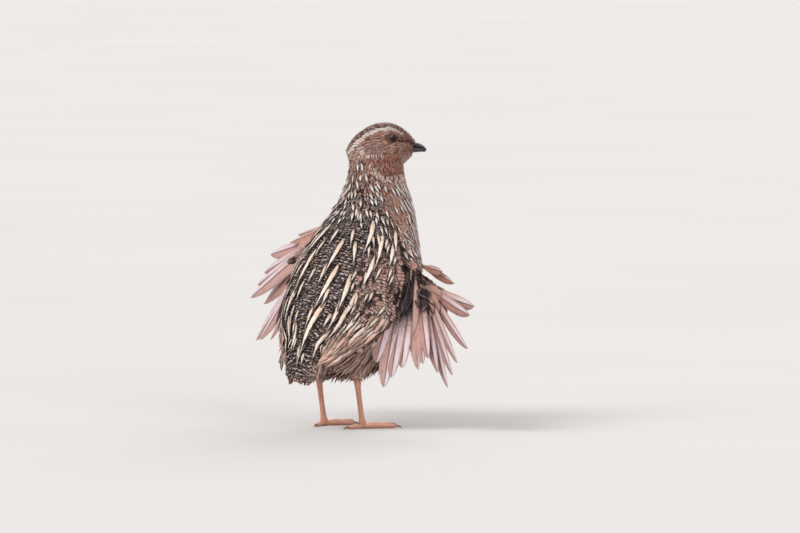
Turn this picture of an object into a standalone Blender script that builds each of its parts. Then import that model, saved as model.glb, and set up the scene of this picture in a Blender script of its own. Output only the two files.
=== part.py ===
"""A life-size coturnix quail, standing upright and shaking out its plumage.

The bird faces +Y, its right side is +X and the floor is at Z = 0. The head looks over the right
shoulder, and both wings hang half open with the flight feathers fanned.
Tables are in millimetres and are scaled once, as each mesh is made.
"""
import math

import bmesh
import bpy
import numpy as np
from mathutils import Matrix, Vector

MM = 0.001
GAP = 0.3            # between pieces that touch
SLAB_REACH = 60.0    # of a cutting block to each side
VANE = 0.62          # thickness of a feather vane
TAPER_START = 0.55   # share of a vane's length where it starts to narrow
UP = np.array([0.0, 0.0, 1.0])

# Body, from the tail root to the top of the neck. Each row is one slice across the body:
# back Y, back Z, belly Y, belly Z, half width, centre X, turn of the slice towards the right in degrees
BODY_ROWS = [
    (-31.0, 47.0, -17.0, 33.0, 12.0, 0.0, 0.0),
    (-30.0, 55.5, -7.0, 30.5, 18.5, 0.0, 0.0),
    (-27.5, 63.0, 5.0, 30.5, 23.5, 0.0, 0.0),
    (-24.0, 71.0, 18.0, 33.5, 26.8, 0.0, 0.0),
    (-19.0, 79.5, 31.0, 42.0, 28.2, 0.0, 0.0),
    (-14.0, 87.5, 40.0, 55.0, 27.8, 0.0, 0.0),
    (-8.5, 95.0, 44.5, 69.5, 25.8, 0.0, 0.0),
    (-3.5, 102.0, 45.5, 83.5, 22.4, 0.2, 0.0),
    (1.5, 108.0, 44.5, 96.0, 18.6, 0.8, 5.0),
    (5.0, 113.5, 42.5, 106.5, 15.8, 1.6, 14.0),
    (7.5, 119.5, 39.0, 116.0, 13.8, 2.6, 27.0),
    (8.0, 126.0, 35.5, 125.0, 12.3, 3.6, 40.0),
    (7.5, 134.0, 34.0, 134.0, 10.5, 4.2, 48.0),
]
NECK_ROW = 8.0        # the neck is cut from the torso at this row
BODY_POWER = 2.3      # of the superellipse that a slice is; 2 would be a plain ellipse
HEAD_POWER = 2.2
BILL_POWER = 2.1
BILL_POINTS = 16
RING_POINTS = 24
ROWS_PER_SLICE = 2

# Head, along the line of sight: forward, top Z, bottom Z, half width
HEAD_TURN = 48.0      # degrees to the right of the body
HEAD_ORIGIN = (4.0, 21.0)     # X, Y of the point that HEAD_ZERO names
HEAD_ZERO = 17.0
HEAD_ROWS = [
    (2.8, 138.8, 136.2, 1.6),
    (4.0, 141.3, 132.5, 4.5),
    (6.5, 144.5, 129.5, 6.9),
    (10.0, 147.5, 127.0, 8.6),
    (15.0, 150.3, 125.8, 9.6),
    (20.0, 151.4, 125.8, 9.8),
    (24.5, 151.2, 127.0, 9.5),
    (28.5, 149.8, 129.6, 8.5),
    (32.0, 147.4, 132.6, 6.7),
    (34.6, 144.9, 135.2, 4.7),
    (36.4, 142.9, 136.9, 2.9),
]
EYE_PLACE = (25.8, 144.3)
EYE_RADIUS = 2.6
EYE_DEPTH = 7.6       # of the eye's centre from the head's middle plane
LID_RADIUS = 2.75
LID_THICK = 0.5
MOUTH_CORNER = 32.4
MOUTH_Z = 139.8

# Bill halves: forward, top Z, bottom Z, half width
BILL_UPPER_ROWS = [
    (33.5, 143.0, 139.6, 2.6),
    (36.0, 142.4, 139.5, 2.35),
    (38.6, 141.6, 139.2, 1.85),
    (40.3, 140.7, 138.7, 1.4),
    (41.5, 139.5, 137.9, 0.9),
    (42.2, 138.4, 137.5, 0.4),
]
BILL_LOWER_ROWS = [
    (33.5, 139.3, 136.6, 2.4),
    (36.5, 139.2, 137.0, 2.1),
    (38.6, 138.9, 137.2, 1.65),
    (40.2, 138.4, 137.2, 1.15),
    (41.2, 137.6, 137.0, 0.6),
]
NOSTRIL = (38.2, 140.9, 1.8)     # forward, Z, distance from the middle
NOSTRIL_RADIUS = 0.75

# Legs, given for the right one: X, Y, Z, radius
THIGH_ROWS = [
    (12.0, 8.0, 52.0, 10.0),
    (13.0, 5.0, 42.0, 9.4),
    (13.3, 1.0, 34.0, 7.2),
    (13.2, -1.8, 28.5, 4.4),
    (13.0, -2.8, 25.4, 2.9),
    (13.0, -2.9, 24.0, 2.8),
]
SHANK_ROWS = [
    (13.0, -2.9, 26.6, 1.9),
    (13.0, -2.8, 23.4, 2.05),
    (13.0, -2.3, 20.5, 1.5),
    (13.0, -0.9, 12.0, 1.35),
    (13.0, 0.3, 5.6, 1.5),
    (13.0, 0.7, 3.0, 1.8),
]
HOCK_Z = 25.2
ANKLE_Z = 3.7
SCUTE_COUNT = 11
SCUTE_STEP = 0.16     # how far each scute band stands proud
ANKLE = (13.0, 0.8, 2.3, 2.1)     # X, Y, Z, radius
# Toes: turn outward from straight ahead in degrees, length, radius at the root and at the end
TOES = {
    "inner": (-34.0, 15.0, 1.35, 1.0),
    "middle": (3.0, 20.5, 1.45, 1.05),
    "outer": (37.0, 16.5, 1.35, 1.0),
    "hind": (196.0, 7.5, 1.15, 0.9),
}
TOE_STATIONS = (0.0, 0.18, 0.34, 0.5, 0.66, 0.82, 1.0)
TOE_PADS = (0.18, 0.5, 0.82)
PAD_SWELL = 0.12
TOE_ARCH = 0.14       # of a toe's middle over the floor
CLAW_LENGTH = 3.6
CLAW_TIP = 0.16       # radius
CLAW_HOOK = 0.75      # drop of its point

# Wings, half open. X counts away from the body on either side. Each tip row starts with the number
# of its flight feather: 0 to 9 are the primaries from the outermost in, 10 to 14 the secondaries.
RIGHT_WING = {
    "shoulder": (17.0, 22.0, 93.0),
    "elbow": (31.0, 1.0, 72.0),
    "wrist": (32.5, 19.0, 79.0),
    "hand": (41.5, 19.0, 70.5),
    "tips": [
        (0, 86.0, 2.0, 64.5),
        (1, 83.0, 2.0, 60.0),
        (2, 79.0, 5.0, 43.0),
        (3, 72.5, 4.8, 35.7),
        (5, 63.7, 7.6, 22.8),
        (7, 54.0, 4.3, 37.0),
        (9, 47.0, 4.5, 31.0),
        (10, 39.0, 1.5, 31.5),
        (11, 36.0, -3.0, 27.0),
        (12, 33.0, -5.4, 22.0),
        (13, 28.8, -6.2, 34.1),
        (14, 27.4, -8.2, 41.7),
    ],
    "alula": [(34.0, 21.0, 82.0), (58.5, 18.5, 73.5), (52.0, 17.0, 79.3)],
}
LEFT_WING = {
    "shoulder": (17.0, 22.0, 93.0),
    "elbow": (30.0, 3.0, 84.0),
    "wrist": (29.0, 26.0, 100.0),
    "hand": (36.0, 25.0, 92.0),
    "tips": [
        (0, 80.0, 33.0, 81.8),
        (1, 82.0, 30.5, 72.5),
        (3, 84.0, 22.3, 60.0),
        (4, 77.0, 25.0, 57.0),
        (5, 72.0, 13.5, 39.0),
        (6, 68.5, 13.0, 39.5),
        (8, 50.0, 8.5, 41.0),
        (10, 40.0, 1.0, 43.0),
        (12, 36.0, -7.0, 45.0),
        (14, 32.0, -15.0, 50.0),
    ],
    "alula": [(29.0, 27.0, 101.0), (60.0, 26.3, 89.0), (56.0, 27.8, 93.0)],
}
PRIMARIES = 10
SECONDARIES = 5
PRIMARY_WIDTH = 8.4
SECONDARY_WIDTH = 9.6
PRIMARY_LEAD = 0.34   # share of a vane's width before its shaft
SECONDARY_LEAD = 0.44
PRIMARY_END = 0.22    # share of a vane's width that is left at its tip
SECONDARY_END = 0.4
FLIGHT_BOW = 1.2
COVERTS = 7
COVERT_SHARE = 0.44   # length of a greater covert, of its flight feather
COVERT_WIDTH = 8.4
COVERT_LEAD = 0.42
COVERT_LIFT = (1.4, 2.2)      # of its root and tip over the flight feathers
COVERT_BOW = 0.7
COVERT_END = 0.5
PLATE_START = -3.6    # of the small coverts that make one body, before the feathers' roots
PLATE_REACH = 0.27    # and how far they cover the feather, as a share and at most
PLATE_LONGEST = 15.0
PLATE_THICK = 4.3
PLATE_LENS = (0.6, 0.36)      # its thickness at the middle, and how much of that its thin edge lacks
PLATE_POINTS = 10
PLATE_CAP = (0.9, 0.55)       # its end slices: how far beyond the last one, and how much smaller
SHINGLE_TURN = 14.4   # degrees that each vane turns about its shaft to lie over the next
ALULA_WIDTH = 4.6
ALULA_TURN = 8.0
ALULA_LEAD = 0.4
ALULA_BOW = 0.4
ALULA_END = 0.3
ALULA_STEP = 0.8      # down from one thumb feather's root to the next
TERTIAL_WIDTH = 10.5
TERTIAL_TURN = 8.0
TERTIAL_LIFT = 0.4
TERTIAL_BOW = 1.6
TERTIAL_END = 0.45
SHOULDER_RADIUS = 7.0
ELBOW_RADIUS = 4.0
WRIST_RADIUS = 3.2

# The flap of scapulars and inner coverts over the folded part of the wing, from the shoulder down:
# a point under the back's surface, a point on the free edge, and how far it bows outward between them
FLAP_POINTS = 6       # from root to edge, on either side
FLAP_RISE = 0.45
FLAP_EDGE = 1.0       # thickness at the free edge
FLAP_SWELL = 5.5      # and how much more at the root
FLAP_ROWS = [
    ((10.0, -4.0, 96.0), (24.5, 14.0, 95.0), 1.0),
    ((14.0, -8.0, 88.0), (30.5, 10.0, 85.5), 1.8),
    ((16.0, -13.0, 80.0), (34.0, 8.6, 79.0), 2.4),
    ((17.0, -17.0, 71.0), (34.6, 7.3, 70.0), 2.6),
    ((17.0, -20.0, 63.0), (34.3, 5.0, 62.0), 2.6),
    ((16.0, -23.0, 55.0), (33.0, -1.0, 54.0), 2.4),
    ((14.0, -25.0, 48.0), (30.0, -9.0, 47.0), 1.8),
    ((12.0, -26.0, 42.0), (24.0, -17.0, 41.0), 1.0),
]
TERTIALS = [
    ((29.0, 5.6, 78.4), (34.6, 4.5, 56.5)),
    ((29.2, 0.5, 76.3), (33.2, -2.0, 50.5)),
    ((28.0, -4.0, 76.0), (30.8, -9.0, 44.0)),
    ((26.0, -9.0, 74.0), (27.0, -15.5, 39.0)),
    ((23.0, -14.0, 70.0), (21.0, -21.5, 40.0)),
]

# Tail
TAIL_ROWS = [
    (-31.0, 47.0, -17.0, 33.0, 12.0, 0.0, 0.0),
    (-32.3, 41.0, -20.5, 29.5, 11.0, 0.0, 0.0),
    (-33.0, 34.5, -24.5, 26.5, 9.4, 0.0, 0.0),
    (-33.0, 29.0, -28.0, 24.5, 7.2, 0.0, 0.0),
]
TAIL_FEATHERS = 10
TAIL_ROOT = (-27.5, 43.0)
TAIL_TIP = (-33.6, 22.8)
TAIL_SPREAD = 20.0    # degrees from the outermost left feather to the outermost right
TAIL_ROOT_SPREAD = 9.0
TAIL_TILT = 9.0       # degrees that each vane leans down to its side
TAIL_WIDTH = 5.6
TAIL_BOW = 0.8
TAIL_END = 0.45
TAIL_SHORTER = 0.28   # share of its length that an outermost feather lacks, twice over
TAIL_LAYER = (1.4, 2.8)       # height of the middle pair over the tail, and how fast it sinks outward

COLOURS = {
    "plumage_back": (0.16, 0.11, 0.08),
    "plumage_neck": (0.33, 0.19, 0.12),
    "plumage_head": (0.36, 0.19, 0.11),
    "plumage_wing": (0.35, 0.24, 0.19),
    "plumage_belly": (0.45, 0.31, 0.21),
    "bill_horn": (0.10, 0.08, 0.09),
    "eye": (0.03, 0.015, 0.01),
    "leg_skin": (0.55, 0.27, 0.15),
    "claw": (0.28, 0.18, 0.12),
}
ROUGHNESS = {"bill_horn": 0.35, "eye": 0.08, "leg_skin": 0.5, "claw": 0.4}


def clear_scene():
    for obj in list(bpy.data.objects):
        bpy.data.objects.remove(obj)


def new_collection(name):
    collection = bpy.data.collections.new(name)
    bpy.context.scene.collection.children.link(collection)
    return collection


def material(name):
    found = bpy.data.materials.get(name)
    if found:
        return found
    made = bpy.data.materials.new(name)
    made.use_nodes = True
    shader = made.node_tree.nodes["Principled BSDF"]
    shader.inputs["Base Color"].default_value = (*COLOURS[name], 1.0)
    shader.inputs["Roughness"].default_value = ROUGHNESS.get(name, 0.8)
    shader.inputs["Metallic"].default_value = 0.0
    return made


def add_object(name, mesh, collection, finish=None):
    obj = bpy.data.objects.new(name, mesh)
    collection.objects.link(obj)
    if finish:
        mesh.materials.append(material(finish))
    return obj


def mesh_from(name, points, faces):
    """A mesh of points in millimetres, with its doubles merged and its faces turned outward."""
    mesh = bpy.data.meshes.new(name)
    mesh.from_pydata([Vector(p) * MM for p in points], [], faces)
    form = bmesh.new()
    form.from_mesh(mesh)
    bmesh.ops.remove_doubles(form, verts=form.verts, dist=0.00001)
    bmesh.ops.recalc_face_normals(form, faces=form.faces)
    bmesh.ops.triangulate(form, faces=form.faces)
    form.to_mesh(mesh)
    form.free()
    return mesh


def between(rows, at):
    """Row values at a fractional row number, on a Catmull-Rom curve through the rows."""
    rows = np.asarray(rows, float)
    at = min(max(at, 0.0), len(rows) - 1.0)
    first = min(int(at), len(rows) - 2)
    t = at - first
    b, c = rows[first], rows[first + 1]
    a = rows[first - 1] if first > 0 else 2 * b - c
    d = rows[first + 2] if first + 2 < len(rows) else 2 * c - b
    return 0.5 * (
        2 * b + (c - a) * t + (2 * a - 5 * b + 4 * c - d) * t * t + (3 * b - a - 3 * c + d) * t ** 3
    )


def unit(vector):
    vector = np.asarray(vector, float)
    return vector / np.linalg.norm(vector)


def loft(name, rings):
    """A closed skin over rings of equal count, each end closed by a fan to its middle."""
    count = len(rings[0])
    points = [p for ring in rings for p in ring]
    faces = []
    for j in range(len(rings) - 1):
        for i in range(count):
            k = (i + 1) % count
            faces.append((j * count + i, j * count + k, (j + 1) * count + k, (j + 1) * count + i))
    for j in (0, len(rings) - 1):
        middle = len(points)
        points.append(np.mean(rings[j], axis=0))
        for i in range(count):
            faces.append((j * count + i, j * count + (i + 1) % count, middle))
    return mesh_from(name, points, faces)


def body_ring(row, swell=0.0):
    """One slice of the body: an ellipse, a little squarer than a true one, from back to belly."""
    back = np.array([0.0, row[0], row[1]])
    belly = np.array([0.0, row[2], row[3]])
    centre = (back + belly) / 2
    depth = np.linalg.norm(back - belly) / 2 + swell
    rise = unit(back - belly)
    side = np.array([1.0, 0.0, 0.0])
    turn = math.radians(row[6])
    cos, sin = math.cos(turn), math.sin(turn)
    spin = np.array([[cos, sin, 0.0], [-sin, cos, 0.0], [0.0, 0.0, 1.0]])
    rise, side = spin @ rise, spin @ side
    centre[0] = row[5]
    ring = []
    for i in range(RING_POINTS):
        angle = 2 * math.pi * i / RING_POINTS
        x, y = math.cos(angle), math.sin(angle)
        bulge = (abs(x) ** BODY_POWER + abs(y) ** BODY_POWER) ** (-1 / BODY_POWER)
        ring.append(centre + side * x * bulge * (row[4] + swell) + rise * y * bulge * depth)
    return ring


def body_loft(name, start, end, swell=0.0, rows=BODY_ROWS):
    steps = max(2, round((end - start) * ROWS_PER_SLICE))
    stations = [start + (end - start) * i / steps for i in range(steps + 1)]
    return loft(name, [body_ring(between(rows, s), swell) for s in stations])


def head_point(forward, side, height):
    """A point given along the head's own line of sight, to its right, and up."""
    turn = math.radians(HEAD_TURN)
    ahead = np.array([math.sin(turn), math.cos(turn), 0.0])
    right = np.array([math.cos(turn), -math.sin(turn), 0.0])
    origin = np.array([HEAD_ORIGIN[0], HEAD_ORIGIN[1], 0.0])
    return origin + ahead * (forward - HEAD_ZERO) + right * side + UP * height


def head_ring(row, swell=0.0, power=HEAD_POWER, count=RING_POINTS):
    middle, half = (row[1] + row[2]) / 2, (row[1] - row[2]) / 2 + swell
    ring = []
    for i in range(count):
        angle = 2 * math.pi * i / count
        x, y = math.cos(angle), math.sin(angle)
        bulge = (abs(x) ** power + abs(y) ** power) ** (-1 / power)
        ring.append(head_point(row[0], x * bulge * (row[3] + swell), middle + y * bulge * half))
    return ring


def head_loft(name, rows, steps_per_row, swell=0.0, power=HEAD_POWER, count=RING_POINTS):
    steps = (len(rows) - 1) * steps_per_row
    stations = [i / steps_per_row for i in range(steps + 1)]
    rings = [head_ring(between(rows, s), swell, power, count) for s in stations]
    if swell:
        rings.insert(0, head_ring(np.array(rows[0]) - (swell, 0, 0, 0), swell, power, count))
        rings.append(head_ring(np.array(rows[-1]) + (swell, 0, 0, 0), swell, power, count))
    return loft(name, rings)


def tube_rings(rows, count, steps_per_row, bump=None):
    """Rings square to the line through the rows of X, Y, Z and radius."""
    steps = (len(rows) - 1) * steps_per_row
    stations = [i / steps_per_row for i in range(steps + 1)]
    line = [between(rows, s) for s in stations]
    rings = []
    for i, row in enumerate(line):
        before, after = line[max(i - 1, 0)], line[min(i + 1, len(line) - 1)]
        along = unit(after[:3] - before[:3])
        side = unit(np.cross(along, [0.0, 1.0, 0.01]) if abs(along[1]) < 0.9 else np.cross(along, UP))
        rise = np.cross(side, along)
        radius = row[3] + (bump(i / steps) if bump else 0.0)
        turns = [2 * math.pi * k / count for k in range(count)]
        rings.append([row[:3] + (side * math.cos(a) + rise * math.sin(a)) * radius for a in turns])
    return rings


def helper(name, mesh, collection):
    obj = add_object(name, mesh, collection)
    obj.hide_render = True
    obj.display_type = "WIRE"
    return obj


def evaluated_mesh(obj):
    graph = bpy.context.evaluated_depsgraph_get()
    return bpy.data.meshes.new_from_object(obj.evaluated_get(graph))


def largest_shell(mesh):
    """Keeps the closed surface with the largest volume and drops the others."""
    form = bmesh.new()
    form.from_mesh(mesh)
    left, shells = set(form.verts), []
    while left:
        stack, shell = [left.pop()], set()
        while stack:
            vert = stack.pop()
            shell.add(vert)
            for edge in vert.link_edges:
                other = edge.other_vert(vert)
                if other in left:
                    left.remove(other)
                    stack.append(other)
        shells.append(shell)

    def volume(shell):
        total = 0.0
        for face in form.faces:
            if face.verts[0] in shell:
                a = face.verts[0].co
                for k in range(1, len(face.verts) - 1):
                    total += a.dot(face.verts[k].co.cross(face.verts[k + 1].co)) / 6
        return total

    keep = max(shells, key=volume)
    bmesh.ops.delete(form, geom=[v for v in form.verts if v not in keep], context="VERTS")
    bmesh.ops.triangulate(form, faces=form.faces)
    form.to_mesh(mesh)
    form.free()


def combine(base, operation, collection):
    """Joins or cuts base with every object of a collection, applies it and removes them."""
    boolean = base.modifiers.new("boolean", "BOOLEAN")
    boolean.operation = operation
    boolean.operand_type = "COLLECTION"
    boolean.collection = collection
    boolean.solver = "MANIFOLD"
    bpy.context.view_layer.update()
    mesh = evaluated_mesh(base)
    base.modifiers.clear()
    finishes = list(base.data.materials)
    base.data = mesh
    mesh.materials.clear()
    for finish in finishes:
        mesh.materials.append(finish)
    for obj in list(collection.objects):
        bpy.data.objects.remove(obj)
    bpy.data.collections.remove(collection)
    largest_shell(mesh)


def join(base, meshes):
    """Fuses meshes, or objects with live modifiers, into base."""
    fused = new_collection("fused")
    for i, item in enumerate(meshes):
        if isinstance(item, bpy.types.Object):
            fused.objects.link(item)
            for other in list(item.users_collection):
                if other != fused:
                    other.objects.unlink(item)
        else:
            add_object(f"fused_{i}", item, fused)
    combine(base, "UNION", fused)


def cut(base, meshes):
    cutters = new_collection("cutters")
    for i, mesh in enumerate(meshes):
        helper(f"cutter_{i}", mesh, cutters)
    combine(base, "DIFFERENCE", cutters)


def slab(name, low, high):
    """A level block between two heights, wider than both legs."""
    far = SLAB_REACH
    corners = [(x, y, z) for z in (low, high) for y in (-far, far) for x in (-far, far)]
    faces = [(0, 2, 3, 1), (4, 5, 7, 6), (0, 1, 5, 4), (2, 6, 7, 3), (0, 4, 6, 2), (1, 3, 7, 5)]
    return mesh_from(name, corners, faces)


def ball_mesh(name, centre, radius, squash=(1.0, 1.0, 1.0), segments=16, rings=10):
    mesh = bpy.data.meshes.new(name)
    form = bmesh.new()
    bmesh.ops.create_uvsphere(form, u_segments=segments, v_segments=rings, radius=radius * MM)
    bmesh.ops.scale(form, vec=squash, verts=form.verts)
    bmesh.ops.translate(form, vec=Vector(centre) * MM, verts=form.verts)
    bmesh.ops.triangulate(form, faces=form.faces)
    form.to_mesh(mesh)
    form.free()
    return mesh


def vane(name, root, tip, face, width, lead=0.5, twist=0.0, bow=0.0, blunt=0.45, rows=4, ridge=True):
    """One feather: a thin plate that widens from its quill, bows along its length, and is round at the tip.

    face is the side that it turns outward. lead is the share of the width before the shaft, twist lays
    its one edge over the next feather, and ridge raises the shaft above both webs.
    """
    root, tip = np.asarray(root, float), np.asarray(tip, float)
    along = unit(tip - root)
    length = np.linalg.norm(tip - root)
    side = unit(np.cross(along, face))
    out = np.cross(side, along)
    turn = math.radians(twist)
    across = side * math.cos(turn) + out * math.sin(turn)
    points, faces = [], []
    for j in range(rows + 1):
        t = j / rows
        wide = width * min(1.0, 0.22 + 1.9 * t)
        if t > TAPER_START:
            past = (t - TAPER_START) / (1 - TAPER_START)
            wide *= blunt + (1 - blunt) * math.sqrt(1 - past ** 2)
        middle = root + along * length * t + out * (4 * bow * t * (1 - t))
        points.append(middle - across * wide * lead)
        if ridge:
            points.append(middle + out * 0.06 * wide)
        points.append(middle + across * wide * (1 - lead))
    count = 3 if ridge else 2
    for j in range(rows):
        for i in range(count - 1):
            a = count * j + i
            faces += [(a, a + 1, a + count + 1), (a, a + count + 1, a + count)]
    mesh = bpy.data.meshes.new(name)
    mesh.from_pydata([Vector(p) * MM for p in points], [], faces)
    obj = bpy.data.objects.new(name, mesh)
    bpy.context.scene.collection.objects.link(obj)
    wall = obj.modifiers.new("wall", "SOLIDIFY")
    wall.thickness = VANE * MM
    wall.offset = 0.0
    return obj


def make_torso(parts):
    add_object("torso", body_loft("torso", 0.0, NECK_ROW), parts, "plumage_back")


def torso_cutter():
    return body_loft("torso_cutter", 0.0, NECK_ROW + 0.6, swell=GAP)


def head_cutter():
    return head_loft("head_cutter", HEAD_ROWS, 2, swell=GAP)


def row_step(rows, at, distance):
    """The row number that lies a distance further along the line through the slices' middles."""
    def middle(s):
        row = between(rows, s)
        return np.array([row[5], (row[0] + row[2]) / 2, (row[1] + row[3]) / 2])
    per_row = np.linalg.norm(middle(at + 0.1) - middle(at - 0.1)) / 0.2
    return at + distance / per_row


def make_neck(parts):
    start = row_step(BODY_ROWS, NECK_ROW, GAP * 1.6)
    neck = add_object("neck", body_loft("neck", start, len(BODY_ROWS) - 1), parts, "plumage_neck")
    cut(neck, [head_cutter()])


def ring_torus(name, centre, axis, radius, thick, segments=16, sides=5):
    """A ring of round section about an axis."""
    axis = unit(axis)
    side = unit(np.cross(axis, UP))
    rise = np.cross(axis, side)
    points, faces = [], []
    for i in range(segments):
        a = 2 * math.pi * i / segments
        spoke = side * math.cos(a) + rise * math.sin(a)
        for k in range(sides):
            b = 2 * math.pi * k / sides
            points.append(centre + spoke * (radius + thick * math.cos(b)) + axis * thick * math.sin(b))
    for i in range(segments):
        for k in range(sides):
            n, m = (i + 1) % segments, (k + 1) % sides
            faces.append((i * sides + k, n * sides + k, n * sides + m, i * sides + m))
    return mesh_from(name, points, faces)


def make_head(parts):
    head = add_object("head", head_loft("head", HEAD_ROWS, 2), parts, "plumage_head")
    right = head_point(HEAD_ZERO, 1.0, 0.0) - head_point(HEAD_ZERO, 0.0, 0.0)
    lids, sockets = [], []
    for name, sign in (("right", 1), ("left", -1)):
        centre = head_point(EYE_PLACE[0], sign * EYE_DEPTH, EYE_PLACE[1])
        rim = head_point(EYE_PLACE[0], sign * (EYE_DEPTH + 1.15), EYE_PLACE[1])
        lids.append(ring_torus("lid", rim, right, LID_RADIUS - 0.15, LID_THICK))
        sockets.append(ball_mesh("socket", centre, EYE_RADIUS + GAP, segments=16, rings=10))
        eye = ball_mesh(f"eye_{name}", centre, EYE_RADIUS, segments=16, rings=10)
        add_object(f"eye_{name}", eye, parts, "eye")
    join(head, lids)
    corner = [head_point(MOUTH_CORNER, s, MOUTH_Z + d) for d in (-0.05, 0.25) for s in (-8, 8)]
    front = [head_point(39.0, s, MOUTH_Z + d) for d in (-0.25, 0.05) for s in (-8, 8)]
    points = corner + front
    faces = [(0, 1, 3, 2), (4, 6, 7, 5), (0, 4, 5, 1), (2, 3, 7, 6), (0, 2, 6, 4), (1, 5, 7, 3)]
    cut(head, sockets + [mesh_from("mouth", points, faces)])


def make_bill(parts):
    upper = head_loft("bill_upper", BILL_UPPER_ROWS, 2, 0.0, BILL_POWER, BILL_POINTS)
    bill = add_object("bill_upper", upper, parts, "bill_horn")
    nostrils = []
    for sign in (-1, 1):
        place = head_point(NOSTRIL[0], sign * NOSTRIL[2], NOSTRIL[1])
        nostrils.append(ball_mesh("nostril", place, NOSTRIL_RADIUS, (1.0, 1.0, 0.5), 10, 6))
    cut(bill, [head_cutter()] + nostrils)
    lower = head_loft("bill_lower", BILL_LOWER_ROWS, 2, 0.0, BILL_POWER, BILL_POINTS)
    bill = add_object("bill_lower", lower, parts, "bill_horn")
    cut(bill, [head_cutter(), head_loft("upper_cutter", BILL_UPPER_ROWS, 2, GAP, BILL_POWER, BILL_POINTS)])


def feather_rows(wing, sign):
    """Root, tip and width of each flight feather, from the outermost primary inward."""
    table = np.array(wing["tips"], float)
    hand, wrist, elbow = (np.array(wing[k], float) for k in ("hand", "wrist", "elbow"))
    made = []
    for i in range(PRIMARIES + SECONDARIES):
        if i < PRIMARIES:
            root = hand + (wrist - hand) * i / PRIMARIES
            width = PRIMARY_WIDTH
        else:
            root = wrist + (elbow - wrist) * (i - PRIMARIES + 0.4) / SECONDARIES
            width = SECONDARY_WIDTH
        tip = np.array([np.interp(i, table[:, 0], table[:, k]) for k in (1, 2, 3)])
        made.append((root * (sign, 1, 1), tip * (sign, 1, 1), width))
    return made


def fan_face(rows, i, sign):
    """The side of the fan that turns backward: square to the feather and to its neighbours' line."""
    a, b = rows[max(i - 3, 0)], rows[min(i + 3, len(rows) - 1)]
    across = (b[0] + b[1]) - (a[0] + a[1])
    along = rows[i][1] - rows[i][0]
    return unit(np.cross(across, along) * sign)


def before_shaft(lead, sign):
    """The share of a vane's width on its first side, so that the lead lies forward on both wings."""
    return lead if sign > 0 else 1 - lead


def covert_plate(name, rows, sign):
    """The small coverts along arm and hand as one lens-shaped body that thins towards the feathers."""
    rings = []
    for i, (root, tip, _) in enumerate(rows):
        out = fan_face(rows, i, sign)
        along = unit(tip - root)
        low, high = PLATE_START, min(np.linalg.norm(tip - root) * PLATE_REACH, PLATE_LONGEST)
        middle = root + along * (low + high) / 2
        ring = []
        for k in range(PLATE_POINTS):
            a = 2 * math.pi * k / PLATE_POINTS
            x, y = math.cos(a), math.sin(a)
            lens = (PLATE_LENS[0] - PLATE_LENS[1] * x) * y * PLATE_THICK
            ring.append(middle + along * x * (high - low) / 2 + out * lens)
        rings.append(ring)
    first, last = np.array(rings[0]), np.array(rings[-1])
    for ring, nearby, place in ((first, rings[1], 0), (last, rings[-2], len(rings))):
        beyond = (ring - nearby).mean(0) * PLATE_CAP[0]
        rings.insert(place, list(ring.mean(0) + (ring - ring.mean(0)) * PLATE_CAP[1] + beyond))
    return loft(name, rings)


def flap_mesh(name, sign):
    """The flap as a closed skin: an outer side that bows, and a flatter inner side close below it."""
    table = [(*b, *e, bow) for b, e, bow in FLAP_ROWS]
    rings = []
    for row in np.array(table):
        inner, edge = row[:3] * (sign, 1, 1), row[3:6] * (sign, 1, 1)
        out = unit(np.cross(edge - inner, UP)) * sign
        shares = [k / (FLAP_POINTS - 1) for k in range(FLAP_POINTS)]
        ring = []
        for t in shares:
            ring.append(inner + (edge - inner) * t + out * (row[6] * 4 * t * (1 - t) + FLAP_RISE))
        for t in reversed(shares):
            thick = FLAP_EDGE + FLAP_SWELL * (1 - t)
            ring.append(inner + (edge - inner) * t + out * (row[6] * 4 * t * (1 - t) + FLAP_RISE - thick))
        rings.append(ring)
    return loft(name, rings)


def arm_tube(name, points, sign):
    rows = [(p[0] * sign, p[1], p[2], r) for p, r in points]
    return loft(name, tube_rings(rows, 10, 1))


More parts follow.
